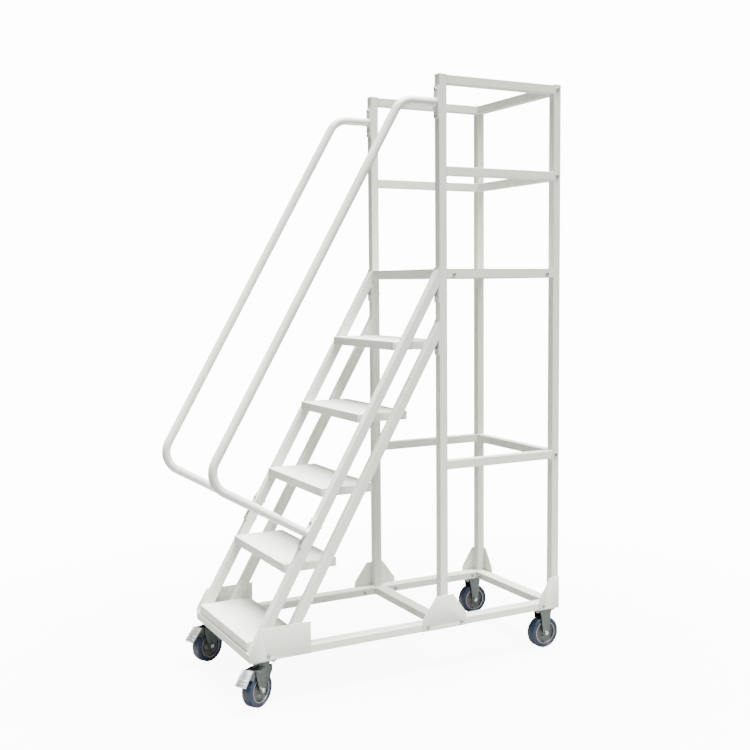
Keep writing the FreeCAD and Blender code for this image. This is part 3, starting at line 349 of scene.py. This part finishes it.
# The forks' near-black zinc is partly painted shade for the shadow under the frame.
shaded_fork_zinc = plated_steel(
    "shaded_fork_zinc", bright=tint(0.125, 0.145, 0.138), dark=tint(0.075, 0.090, 0.086),
    crystals=140.0, brushed=(1, 1, 0.08), gloss=0.30,
)
plate_zinc = plated_steel(
    "caster_plate_zinc", bright=tint(0.36, 0.38, 0.37), dark=tint(0.22, 0.24, 0.235),
    crystals=140.0, brushed=(0.1, 1, 1), gloss=0.30,
)
pedal_zinc = plated_steel(
    "pedal_zinc", bright=tint(0.72, 0.74, 0.76), dark=tint(0.58, 0.60, 0.62),
    crystals=170.0, brushed=(1, 0.12, 0.12), gloss=0.36,
)
axle_zinc = plated_steel(
    "axle_zinc", bright=tint(0.62, 0.64, 0.65), dark=tint(0.36, 0.38, 0.40),
    crystals=220.0, brushed=(0.1, 1, 1), gloss=0.22,
)
print("plated steel in five shades")

# %% [markdown]
# ## Moulded plastics
# Tyres, wheel cores, bearing seals and post caps are moulded.  A mould leaves a fine even
# grain, the colour drifts a little as the plastic flows, and dust settles on it in use.

# %% Moulded plastics
DUST = tint(0.36, 0.35, 0.32)


def moulded(name, colour, shade, grain, gloss, dust):
    """A moulded plastic: fine grain, slow colour drift, and dust that dulls it."""
    recipe = Recipe(name)
    drift = recipe.mask(recipe.noise(scale=18.0, detail=3.0), 0.35, 0.7)
    settled = recipe.mask(recipe.noise(scale=60.0, detail=6.0, roughness=0.7), 0.5, 0.75)
    body = recipe.mix(drift, colour, shade)
    body = recipe.mix(settled * dust, body, DUST)
    fine = recipe.noise(scale=grain, detail=3.0, roughness=0.6)
    recipe.bump(fine, strength=0.2, distance=GRAIN_DEPTH)
    return recipe.finish(Base_Color=body, Roughness=gloss + settled * 0.2 + drift * 0.05)


tyre_blue = moulded(
    "tyre_polyurethane", colour=tint(0.003, 0.014, 0.044), shade=tint(0.002, 0.008, 0.024),
    grain=700.0, gloss=0.34, dust=0.04,
)
core_grey = moulded(
    "wheel_core_nylon", colour=tint(0.080, 0.082, 0.080), shade=tint(0.048, 0.050, 0.050),
    grain=900.0, gloss=0.36, dust=0.12,
)
cap_plastic = moulded(
    "post_cap_plastic", colour=tint(0.69, 0.70, 0.67), shade=tint(0.64, 0.65, 0.61),
    grain=1100.0, gloss=0.40, dust=0.06,
)
seal_black = moulded(
    "bearing_seal_rubber", colour=tint(0.03, 0.03, 0.032), shade=tint(0.02, 0.02, 0.02),
    grain=900.0, gloss=0.45, dust=0.3,
)
print("materials:", len(bpy.data.materials))

# %% [markdown]
# ## Dressing the exact pieces
# Straight tubes need no new shape: the exact mesh already has its rounded corners.  They
# only get their paint, with the marks running along each tube.  The post caps and the
# caster plates are done here as well.  A later line of the list wins over an earlier one.

# %% Paint the tubes
DRESS = {
    "post_": tube_coat, "top_rail": level_coat, "mid_rail": level_coat,
    "lower_rail": level_coat, "platform_rail": level_coat, "base_": level_coat,
    "stringer": slope_coat, "post_caps": cap_plastic, "swivel_plate": plate_zinc,
}
for name, piece in NODES.items():
    for start, material in DRESS.items():
        if name.startswith(start):
            for material_slot in piece.material_slots:
                material_slot.material = material
print("dressed", sum(name.startswith(tuple(DRESS)) for name in NODES), "exact pieces")

# %% [markdown]
# ## Softening sheet and pressed parts
# Cut sheet never has a razor edge: it is deburred and the paint rounds it further, and
# that rounding is what catches the light.  A copy of the exact mesh is merged back into
# whole faces and its sharp edges are bevelled; the copy then stands for the exact piece.

# %% Bevelled copies
SHARP = math.radians(35)


def keep(mesh, name, body, material, smooth=math.radians(40)):
    """Turns a bmesh into a finished piece that rides on a body."""
    data = bpy.data.meshes.new(name)
    mesh.to_mesh(data)
    mesh.free()
    data.polygons.foreach_set("use_smooth", [True] * len(data.polygons))
    data.set_sharp_from_angle(angle=smooth)
    piece = bpy.data.objects.new(name, data)
    bpy.context.scene.collection.objects.link(piece)
    data.materials.append(material)
    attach(piece, body)
    return piece


def body_of(node):
    bodies = frame["record"]["behaviour"]["bodies"]
    return next(body for body, members in bodies.items() if node in members)


def whole_faces(node):
    """A copy of an exact mesh with its loose triangles merged into flat faces."""
    mesh = bmesh.new()
    mesh.from_mesh(NODES[node].data)
    bmesh.ops.remove_doubles(mesh, verts=mesh.verts, dist=0.002 * MM)
    bmesh.ops.dissolve_limit(
        mesh, angle_limit=math.radians(0.5), verts=mesh.verts, edges=mesh.edges
    )
    return mesh


def bevel_sharp(mesh, width, segments=2):
    sharp = [e for e in mesh.edges if len(e.link_faces) == 2 and e.calc_face_angle() > SHARP]
    bmesh.ops.bevel(
        mesh, geom=sharp, offset=width * MM, offset_type="OFFSET", segments=segments, profile=0.5,
        affect="EDGES", clamp_overlap=True, material=-1,
    )


def soften(node, width, material, segments=2):
    mesh = whole_faces(node)
    bevel_sharp(mesh, width, segments)
    piece = keep(mesh, node + "_finished", body_of(node), material)
    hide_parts(node)
    return piece


print("sharp edges are those over", round(math.degrees(SHARP)), "degrees")

# %% [markdown]
# ## The parts that are softened
# Each part is eased as far as its making would round it: the pressed forks most, cut
# plate and sheet less.  Bolts are eased least, so that their hexagons stay crisp.

# %% Soften the parts
SHEET_EASE, PLATE_EASE, PRESSED_EASE, AXLE_EASE = 0.7, 0.9, 1.2, 0.8  # millimetres
softened = [soften("hex_bolts", 0.5, bolt_zinc), soften("platform_deck", SHEET_EASE, deck_coat)]
softened += [soften(f"tread_{number}", SHEET_EASE, tread_coat_painted_light) for number in range(1, 6)]
softened.append(soften("front_post_gussets", PLATE_EASE, plate_coat))
for hand in ("left", "right"):
    softened.append(soften("stair_foot_gusset_" + hand, PLATE_EASE, plate_coat))
    softened.append(soften("rear_corner_gusset_" + hand, PLATE_EASE, plate_coat))
    softened.append(soften("swivel_fork_" + hand, PRESSED_EASE, shaded_fork_zinc, 3))
    softened.append(soften("rigid_fork_" + hand, PRESSED_EASE, shaded_fork_zinc, 3))
    softened.append(soften("front_axle_" + hand, AXLE_EASE, axle_zinc))
softened.append(soften("rear_axles", AXLE_EASE, axle_zinc))
print("softened", len(softened), "pieces,", sum(len(p.data.polygons) for p in softened), "faces")

# %% [markdown]
# ## Handrails from one bent tube
# A handrail is a straight tube pushed through a bender twice.  The same steps make its
# shape here: a ring of points is pushed out along each straight run and spun about the
# bender's centre at each corner.  Each end is welded to a flat plate, which is bolted on.

# %% Bent tubes
SLOPE = math.radians(60)
RAIL_RADIUS, BEND = 19 * MM, 95 * MM
TUBE_END = 4 * MM  # how far off the post or stringer a tube ends, inside its flange
FLANGE_WIDTH, FLANGE_REACH, FLANGE_THICK = 40 * MM, 70 * MM, 5 * MM
FLANGE_CORNER, FLANGE_EASE = 5 * MM, 0.8 * MM
FLANGE_FOOT = 702 * MM  # height of the lower flange's middle
RAIL_STAND_OFF = 514 * MM  # from the stringer to the long run of the tube
UP_SLOPE = Vector((0, math.cos(SLOPE), math.sin(SLOPE)))
OUT_OF_SLOPE = Vector((0, -math.sin(SLOPE), math.cos(SLOPE)))
post_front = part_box("post_front_right")[0].y
stair_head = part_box("stringer_front_right")[1].z


def push_out(mesh, ring, shift, steps):
    """Extends a ring of edges in a straight line and returns the new end ring."""
    grown = bmesh.ops.spin(
        mesh, geom=ring, cent=(0, 0, 0), axis=(1, 0, 0), dvec=shift / steps, angle=0, steps=steps,
        use_merge=False, use_normal_flip=False, use_duplicate=False,
    )
    return grown["geom_last"]


def bend_round(mesh, ring, centre, angle, steps):
    """Turns a ring of edges about a line along X and returns the new end ring."""
    grown = bmesh.ops.spin(
        mesh, geom=ring, cent=centre, axis=(1, 0, 0), dvec=(0, 0, 0), angle=angle, steps=steps,
        use_merge=False, use_normal_flip=False, use_duplicate=False,
    )
    return grown["geom_last"]


def add_flange(mesh, place, turn):
    """A bolted end plate with rounded corners; its back lies at the place."""
    made = bmesh.ops.create_cube(mesh, size=1)
    shape = Matrix.Diagonal((FLANGE_WIDTH, 2 * FLANGE_REACH, FLANGE_THICK, 1))
    lift = Matrix.Translation((0, 0, FLANGE_THICK / 2))
    bmesh.ops.transform(mesh, matrix=lift @ shape, verts=made["verts"])
    edges = {e for v in made["verts"] for e in v.link_edges}
    corners = [e for e in edges if abs((e.verts[0].co - e.verts[1].co).z) > FLANGE_THICK / 2]
    rounded = bmesh.ops.bevel(
        mesh, geom=corners, offset=FLANGE_CORNER, segments=4, profile=0.5,
        affect="EDGES", material=-1,
    )
    verts = {v for v in made["verts"] if v.is_valid} | set(rounded["verts"])
    whole = [e for e in mesh.edges if e.verts[0] in verts and len(e.link_faces) == 2]
    rims = [e for e in whole if e.calc_face_angle() > SHARP]
    eased = bmesh.ops.bevel(
        mesh, geom=rims, offset=FLANGE_EASE, segments=2, profile=0.5, affect="EDGES", material=-1
    )
    verts = {v for v in verts if v.is_valid} | set(eased["verts"])
    bmesh.ops.transform(mesh, matrix=Matrix.Translation(place) @ turn, verts=list(verts))


print("slope", round(math.degrees(SLOPE)), "degrees, bend", round(BEND / MM), "mm")

# %% [markdown]
# ## Bending the two handrails
# The tube leaves the post level, turns down parallel to the stair and turns back to the
# stringer at a right angle.  Its corners are found first, as if it had no bends; each bend
# then takes its share off the straight runs beside it.

# %% Both handrails
def bent_handrail(hand):
    x = (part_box("handrail_" + hand)[0].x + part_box("handrail_" + hand)[1].x) / 2
    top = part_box("handrail_" + hand)[1].z - FLANGE_REACH
    foot = Vector((x, post_front - (stair_head - FLANGE_FOOT) / math.tan(SLOPE), FLANGE_FOOT))
    corner = foot + OUT_OF_SLOPE * RAIL_STAND_OFF
    knee = corner + UP_SLOPE * ((top - corner.z) / math.sin(SLOPE))
    knee_run = BEND * math.tan(SLOPE / 2)
    mesh = bmesh.new()
    facing = Matrix.Rotation(math.radians(90), 4, "X")
    start = Matrix.Translation((x, post_front - TUBE_END, top)) @ facing
    bmesh.ops.create_circle(mesh, segments=40, radius=RAIL_RADIUS, cap_ends=False, matrix=start)
    ring = mesh.edges[:] + mesh.verts[:]
    ring = push_out(mesh, ring, Vector((0, knee.y + knee_run - post_front + TUBE_END, 0)), 4)
    ring = bend_round(mesh, ring, knee + Vector((0, knee_run, -BEND)), SLOPE, 16)
    run = (knee - corner).length - knee_run - BEND
    ring = push_out(mesh, ring, UP_SLOPE * -run, 24)
    centre = corner + UP_SLOPE * BEND - OUT_OF_SLOPE * BEND
    ring = bend_round(mesh, ring, centre, math.radians(90), 22)
    push_out(mesh, ring, OUT_OF_SLOPE * -(RAIL_STAND_OFF - BEND - TUBE_END), 6)
    bmesh.ops.recalc_face_normals(mesh, faces=mesh.faces)
    add_flange(mesh, Vector((x, post_front, top)), facing)
    add_flange(mesh, foot, Matrix.Rotation(SLOPE, 4, "X"))
    piece = keep(mesh, f"handrail_{hand}_bent", "frame", handrail_coat_painted_highlight)
    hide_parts("handrail_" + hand)
    return piece


handrails = [bent_handrail(hand) for hand in ("left", "right")]
print("handrails", [len(piece.data.polygons) for piece in handrails])

# %% [markdown]
# ## Turned wheels
# A caster wheel is round about its axle, so its section is enough: a closed line of
# corners is spun a full turn.  Chosen ring edges are then bevelled, wide on the tyre's
# shoulders and fine on the moulded core.

# %% Spun sections
WHEELS = [(row, hand) for row in ("front", "rear") for hand in ("left", "right")]


def wheel_place(row, hand):
    """Moves a wheel drawn at the origin about X to its axle."""
    joint = JOINTS[f"{row}_wheel_spin_{hand}"]
    turn = Vector((1, 0, 0)).rotation_difference(Vector(joint["axis"]))
    return Matrix.Translation(Vector(joint["pos_m"])) @ turn.to_matrix().to_4x4()


def spun(section, widths, steps=96):
    """Spins a closed section, given in millimetres as (x, radius), about the X axis."""
    mesh = bmesh.new()
    corners = [mesh.verts.new((x * MM, 0, r * MM)) for x, r in section]
    sides = [mesh.edges.new((a, b)) for a, b in zip(corners, corners[1:] + corners[:1])]
    bmesh.ops.spin(
        mesh, geom=corners + sides, cent=(0, 0, 0), axis=(1, 0, 0), dvec=(0, 0, 0),
        angle=2 * math.pi, steps=steps,
        use_merge=True, use_normal_flip=False, use_duplicate=False,
    )
    bmesh.ops.remove_doubles(mesh, verts=mesh.verts, dist=0.001 * MM)
    for x, r, width, segments in widths:
        rings = [e for e in mesh.edges if all(near_ring(v.co, x, r) for v in e.verts)]
        bmesh.ops.bevel(
            mesh, geom=rings, offset=width * MM, segments=segments, profile=0.5,
            affect="EDGES", material=-1,
        )
    bmesh.ops.recalc_face_normals(mesh, faces=mesh.faces)
    return mesh


def near_ring(point, x, r):
    """Whether a point lies on the ring at x, on either face, with this radius."""
    from_ring = abs(point.x) - x * MM, math.hypot(point.y, point.z) - r * MM
    return all(abs(distance) < 0.01 * MM for distance in from_ring)


def mirrored(right_half):
    """A whole section from its half; the other half has the same corners at -x."""
    return right_half + [(-x, r) for x, r in reversed(right_half)]


print(len(WHEELS), "wheels to turn")

# %% [markdown]
# ## The wheel's sections
# A caster wheel has a tyre cast round a moulded core, a sealed bearing in its hub and a
# thin steel ring on each face.  The tyre laps a little way down over the rim and the ring
# covers its edge.  The core is thick at the hub and rim and thin between them.  Each easing
# names a ring by its place, then gives the bevel's width and its number of segments.

# %% Section lines
WHEEL_RADIUS = JOINTS["rear_wheel_spin_left"]["pos_m"][2] / MM
RIM = WHEEL_RADIUS - 15.5
LIP = 7.0
LAP = RIM - LIP
SHOULDER = WHEEL_RADIUS - 0.5
TYRE_SECTION = mirrored([
    (19.0, RIM), (19.0, LAP), (23.0, LAP), (23.0, RIM + 2.6), (21.6, RIM + 3.8),
    (21.6, RIM + 5.2), (24.0, RIM + 6.6), (24.0, SHOULDER), (0.1, WHEEL_RADIUS),
])
TYRE_EASING = [
    (24.0, SHOULDER, 7.0, 6), (24.0, RIM + 6.6, 0.8, 2), (23.0, RIM + 2.6, 0.6, 2),
    (23.0, LAP, 0.8, 2),
]
CORE_SECTION = mirrored([
    (8.0, 6.05), (22.5, 6.05), (25.0, 7.0), (25.0, 9.0), (22.6, 9.6), (22.6, 14.4),
    (24.6, 15.0), (24.6, 19.0), (17.0, 21.0), (11.0, 29.0), (9.5, RIM - 15.0),
    (12.0, RIM - 9.5), (17.0, RIM - 8.0), (19.5, RIM - 5.0), (22.0, RIM - 4.0), (22.0, RIM),
])
CORE_EASING = [
    (24.6, 19.0, 1.2, 3), (25.0, 9.0, 0.4, 2), (22.0, RIM - 4.0, 0.5, 2),
    (11.0, 29.0, 3.0, 3), (9.5, RIM - 15.0, 2.5, 3), (17.0, RIM - 8.0, 0.8, 2),
]
SEAL_SECTION = [
    (22.0, 9.4), (23.2, 9.4), (23.6, 10.4), (23.2, 11.6), (23.6, 12.8), (23.2, 14.0), (22.0, 14.5),
]
GUARD_SECTION = [
    (11.0, LAP - 2.6), (21.8, LAP - 2.6), (23.2, LAP - 2.0), (23.6, LAP - 0.8),
    (23.2, LAP + 0.3), (11.0, LAP + 0.3),
]
print("wheel radius", round(WHEEL_RADIUS, 1), "mm, rim", round(RIM, 1), "mm")

# %% [markdown]
# ## Turning and mounting the wheels
# Each section is spun as a loose mesh at the origin and then carried to its axle, so the
# four wheels share one drawing.  Seals and rings are spun once and copied to the far face.

# %% Turn the wheels
def both_sides(section, steps):
    """A ring on each face of a wheel."""
    mesh = spun(section, [], steps)
    other = bmesh.ops.duplicate(mesh, geom=mesh.faces[:] + mesh.edges[:] + mesh.verts[:])
    far = [item for item in other["geom"] if isinstance(item, bmesh.types.BMVert)]
    bmesh.ops.scale(mesh, vec=(-1, 1, 1), verts=far)
    bmesh.ops.recalc_face_normals(mesh, faces=mesh.faces)
    return mesh


def make_wheel(row, hand):
    place = wheel_place(row, hand)
    body = f"{row}_wheel_{hand}"
    made = {
        "tyre": (spun(TYRE_SECTION, TYRE_EASING), "tyre_polyurethane", tyre_blue),
        "wheel_core": (spun(CORE_SECTION, CORE_EASING), "wheel_core_plastic", core_grey),
        "bearing_seals": (both_sides(SEAL_SECTION, 64), "tyre_polyurethane", seal_black),
        "rim_rings": (both_sides(GUARD_SECTION, 96), "zinc_caster", bolt_zinc),
    }
    for name, (mesh, slot, material) in made.items():
        bmesh.ops.transform(mesh, matrix=place, verts=mesh.verts)
        node = f"{name}_{row}_{hand}"
        piece = keep(mesh, node + "_turned", body, material)
        if node in NODES:
            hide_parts(node)


for row, hand in WHEELS:
    make_wheel(row, hand)
print("turned", len(WHEELS), "wheels")

# %% [markdown]
# ## Brake pedals
# A pedal is a pressed steel plate.  Two ridges across it near the toe stop the shoe from
# slipping, its long edges are folded up, and the toe end is rolled.  Each is a small
# bevelled block laid on the exact plate in the caster's own turned frame, in which
# PLATE_START and PLATE_END are the plate's upper and lower end.

# %% Ridges and folded edges
PLATE_START, PLATE_END = Vector((0, -97, -17)) * MM, Vector((0, -148, -74)) * MM
PLATE_THICK = 4.3 * MM
PEDAL_EASE = 0.9
RIDGES_AT = (0.62, 0.80)  # shares of the plate's length


def block(mesh, frame_matrix, centre, size, ease):
    """A bevelled box, sized and centred in millimetres in a frame of its own."""
    spot = Matrix.Translation(Vector(centre) * MM) @ Matrix.Diagonal((*[v * MM for v in size], 1))
    made = bmesh.ops.create_cube(mesh, size=1, matrix=frame_matrix @ spot)
    edges = list({e for v in made["verts"] for e in v.link_edges})
    bmesh.ops.bevel(
        mesh, geom=edges, offset=ease * MM, segments=3, profile=0.5, affect="EDGES", material=-1
    )


def caster_place(hand):
    """A front caster's own frame: kingpin at the mounting face, wheel towards -Y."""
    kingpin = Vector(JOINTS["caster_swivel_" + hand]["pos_m"])
    axle = Vector(JOINTS["front_wheel_spin_" + hand]["axis"])
    face = Vector((kingpin.x, kingpin.y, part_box("base_rail_" + hand)[0].z))
    return Matrix.Translation(face) @ Matrix.Rotation(math.atan2(axle.y, axle.x), 4, "Z")


def pedal_frame(hand):
    """X across the foot plate, Y down it and Z out of it, from its upper edge."""
    down = (PLATE_END - PLATE_START).normalized()
    out = Vector((0, down.z, -down.y))
    turn = Matrix((Vector((-1, 0, 0)), down, out)).transposed().to_4x4()
    return caster_place(hand) @ Matrix.Translation(PLATE_START) @ turn


def pedal_base(hand):
    """The exact pedal, eased: bright foot plate, and dark zinc on the cheeks and shoe behind it, partly painted
    shade for the shadow behind the plate.
    """
    piece = soften("brake_pedal_" + hand, PEDAL_EASE, pedal_zinc)
    piece.data.materials.append(shaded_fork_zinc)
    inwards = pedal_frame(hand).inverted()
    for face in piece.data.polygons:
        # Faces behind the foot plate take the dark zinc: partly the darker mechanism, partly painted shade.
        behind = (inwards @ face.center).z < -PLATE_THICK
        face.material_index = int(behind)


def pedal_details(hand):
    """Two ridges, two folded edges and the rolled toe end."""
    plate = pedal_frame(hand)
    length = (PLATE_END - PLATE_START).length / MM
    mesh = bmesh.new()
    for share in RIDGES_AT:
        block(mesh, plate, centre=(0, share * length, 0.6), size=(36, 6.5, 4.4), ease=2.0)
    for side in (-1, 1):
        edge = (side * 25.6, 0.5 * length, 0.2)
        block(mesh, plate, centre=edge, size=(2.8, length - 3, 8.0), ease=1.1)
    block(mesh, plate, centre=(0, length - 1.4, 0.4), size=(54, 3.6, 6.0), ease=1.5)
    bmesh.ops.recalc_face_normals(mesh, faces=mesh.faces)
    return keep(mesh, f"brake_pedal_{hand}_ribs", "brake_" + hand, pedal_zinc)


for hand in ("left", "right"):
    pedal_base(hand)
    print(pedal_details(hand).name)

# %% [markdown]
# ## Weld beads
# The rails, posts and treads are joined by short gas-shielded welds, and the paint goes
# over them.  A bead is a string of overlapping puddles, so a thin tube that swells and
# narrows every millimetre or two shows it well, half sunk into the corner it fills.

# %% Beads along straight seams
PUDDLE = 1.7 * MM  # length of one puddle
BEAD = 2.3 * MM  # radius of an ordinary bead
RIPPLE = 0.14
END_SIZE, TAPER_RUN = 0.55, 2.5


def bead(whole, start, end, radius):
    """Adds a rippled bead from start to end to a whole mesh."""
    mesh = bmesh.new()
    run = end - start
    steps = max(6, round(run.length / PUDDLE) * 2)
    along = run.normalized()
    upright = Matrix.Translation(start) @ run.to_track_quat("Z", "Y").to_matrix().to_4x4()
    circle = bmesh.ops.create_circle(
        mesh, segments=7, radius=radius, cap_ends=True, matrix=upright
    )
    first = circle["verts"]
    ring = list({e for v in first for e in v.link_edges}) + first
    grown = bmesh.ops.spin(
        mesh, geom=ring, cent=(0, 0, 0), axis=(0, 0, 1), dvec=run / steps, angle=0, steps=steps,
        use_merge=False, use_normal_flip=False, use_duplicate=False,
    )
    last = [item for item in grown["geom_last"] if isinstance(item, bmesh.types.BMEdge)]
    bmesh.ops.edgeloop_fill(mesh, edges=last)
    for vert in mesh.verts:
        travelled = (vert.co - start).dot(along)
        middle = start + along * travelled
        swell = 1 - RIPPLE + RIPPLE * math.cos(2 * math.pi * travelled / PUDDLE)
        from_end = min(travelled, run.length - travelled)
        taper = min(1.0, END_SIZE + from_end / (TAPER_RUN * radius))
        vert.co = middle + (vert.co - middle) * swell * taper
    loose = bpy.data.meshes.new("bead")
    mesh.to_mesh(loose)
    mesh.free()
    whole.from_mesh(loose)
    bpy.data.meshes.remove(loose)


def seam(mesh, axis, start, length, radius=BEAD):
    """A bead that runs along one axis from a corner point."""
    step = Vector((0, 0, 0))
    step[axis] = length
    bead(mesh, Vector(start), Vector(start) + step, radius)


def beads(name, fill):
    """One painted piece on the frame, with every bead that fill lays."""
    mesh = bmesh.new()
    fill(mesh)
    bmesh.ops.recalc_face_normals(mesh, faces=mesh.faces)
    piece = keep(mesh, name, "frame", bead_coat, math.radians(60))
    print(name, len(piece.data.polygons), "faces")


print("beads are laid in puddles of", round(PUDDLE / MM, 1), "mm")

# %% [markdown]
# ## Seams of the tower
# The side rails are welded to the posts across their upper and lower edges, the top ones
# only below.  The platform's cross rails are welded across their lower edges, and each
# post to the base on three sides.  The beads take their places from the exact pieces'
# boxes and stop short of the tubes' rounded corners.

# %% Seams of the tower
EDGE = 3 * MM  # kept free at each end of a seam


def tower_seams(mesh):
    for level in ("top_rail", "mid_rail", "lower_rail", "platform_rail"):
        for hand in ("left", "right"):
            low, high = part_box(f"{level}_{hand}")
            heights = [low.z] if level == "top_rail" else [low.z, high.z]
            for y in (low.y, high.y):
                for z in heights:
                    seam(mesh, 0, (low.x + EDGE, y, z), high.x - low.x - 2 * EDGE)
    for row in ("front", "rear"):
        low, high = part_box("platform_rail_" + row)
        for x in (low.x, high.x):
            seam(mesh, 1, (x, low.y + EDGE, low.z), high.y - low.y - 2 * EDGE)
    for hand, inner in (("left", 1), ("right", 0)):
        for row in ("front", "rear"):
            low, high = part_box(f"post_{row}_{hand}")
            for y in (low.y, high.y):
                seam(mesh, 0, (low.x + EDGE, y, low.z), high.x - low.x - 2 * EDGE)
            inside = (low.x, high.x)[inner]
            seam(mesh, 1, (inside, low.y + EDGE, low.z), high.y - low.y - 2 * EDGE)


beads("weld_beads_tower", tower_seams)

# %% [markdown]
# ## Seams of the base and the stair
# The base's side rails have upright beads on the inside of their ends, and its middle
# cross rail has them at its four corners.  The stringers' feet are welded across, and each
# tread to the stringers beside it.  A stringer leans, so its front face has another Y at
# each height, and each seam is cut to where the stringer is.

# %% Seams of the base and the stair
STRINGER_DEPTH = 40 * MM / math.sin(SLOPE)  # a 40 mm tube, cut level
BASE_BEAD, TREAD_BEAD = 2.8 * MM, 1.8 * MM
STRINGER_HEADS = {row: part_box(f"stringer_{row}_right")[1].z for row in ("front", "rear")}


def stringer_y(row, z):
    """Y of a stringer's front face at a height."""
    return post_front - (STRINGER_HEADS[row] - z) / math.tan(SLOPE)


def base_seams(mesh):
    for name in ("base_rail_left", "base_rail_right", "base_cross_rail_middle"):
        low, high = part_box(name)
        if name == "base_cross_rail_middle":
            corners = [(x, y) for x in (low.x, high.x) for y in (low.y, high.y)]
        else:
            inside = high.x if high.x < 0 else low.x
            corners = [(inside, low.y), (inside, high.y)]
        for x, y in corners:
            seam(mesh, 2, (x, y, low.z + EDGE), high.z - low.z - 2 * EDGE, BASE_BEAD)


def stair_seams(mesh):
    for hand in ("left", "right"):
        for row in ("front", "rear"):
            low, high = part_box(f"stringer_{row}_{hand}")
            for shift in (0, STRINGER_DEPTH):
                y = stringer_y(row, low.z) + shift
                seam(mesh, 0, (low.x + EDGE, y, low.z), high.x - low.x - 2 * EDGE)
    for number in range(1, 6):
        low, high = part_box(f"tread_{number}")
        for x in (low.x, high.x):
            for row in ("front", "rear"):
                for z in (low.z + EDGE, high.z - EDGE):
                    front = max(stringer_y(row, z), low.y)
                    back = min(stringer_y(row, z) + STRINGER_DEPTH, high.y)
                    if back - front > 4 * EDGE:
                        seam(mesh, 1, (x, front, z), back - front, TREAD_BEAD)


beads("weld_beads_base", base_seams)
beads("weld_beads_stair", stair_seams)

# %% [markdown]
# ## Rings round the handrail ends
# Each handrail is welded to its two flanges all the way round.  A small circle is spun
# once about the tube's own axis, which closes the ring without a visible start.

# %% Rings round the handrail ends
RING_RADIUS, RING_THICK = RAIL_RADIUS + 0.6 * MM, 2.2 * MM


def ring_bead(mesh, centre, axis):
    """A bead round a tube that leaves the centre along the axis."""
    side = Vector((1, 0, 0))
    turn = Matrix((side, axis.cross(side), axis)).transposed().to_4x4()
    upright = turn @ Matrix.Rotation(math.radians(90), 4, "X")
    section = Matrix.Translation(centre + side * RING_RADIUS) @ upright
    circle = bmesh.ops.create_circle(
        mesh, segments=7, radius=RING_THICK, cap_ends=False, matrix=section
    )
    first = circle["verts"]
    ring = list({e for v in first for e in v.link_edges}) + first
    bmesh.ops.spin(
        mesh, geom=ring, cent=centre, axis=axis, dvec=(0, 0, 0), angle=2 * math.pi, steps=60,
        use_merge=True, use_normal_flip=False, use_duplicate=False,
    )


def handrail_rings(mesh):
    for hand in ("left", "right"):
        low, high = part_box("handrail_" + hand)
        x = (low.x + high.x) / 2
        head = Vector((x, post_front - FLANGE_THICK, high.z - FLANGE_REACH))
        ring_bead(mesh, head, Vector((0, -1, 0)))
        foot = Vector((x, post_front - (stair_head - FLANGE_FOOT) / math.tan(SLOPE), FLANGE_FOOT))
        ring_bead(mesh, foot + OUT_OF_SLOPE * FLANGE_THICK, OUT_OF_SLOPE)


beads("weld_rings_handrail", handrail_rings)
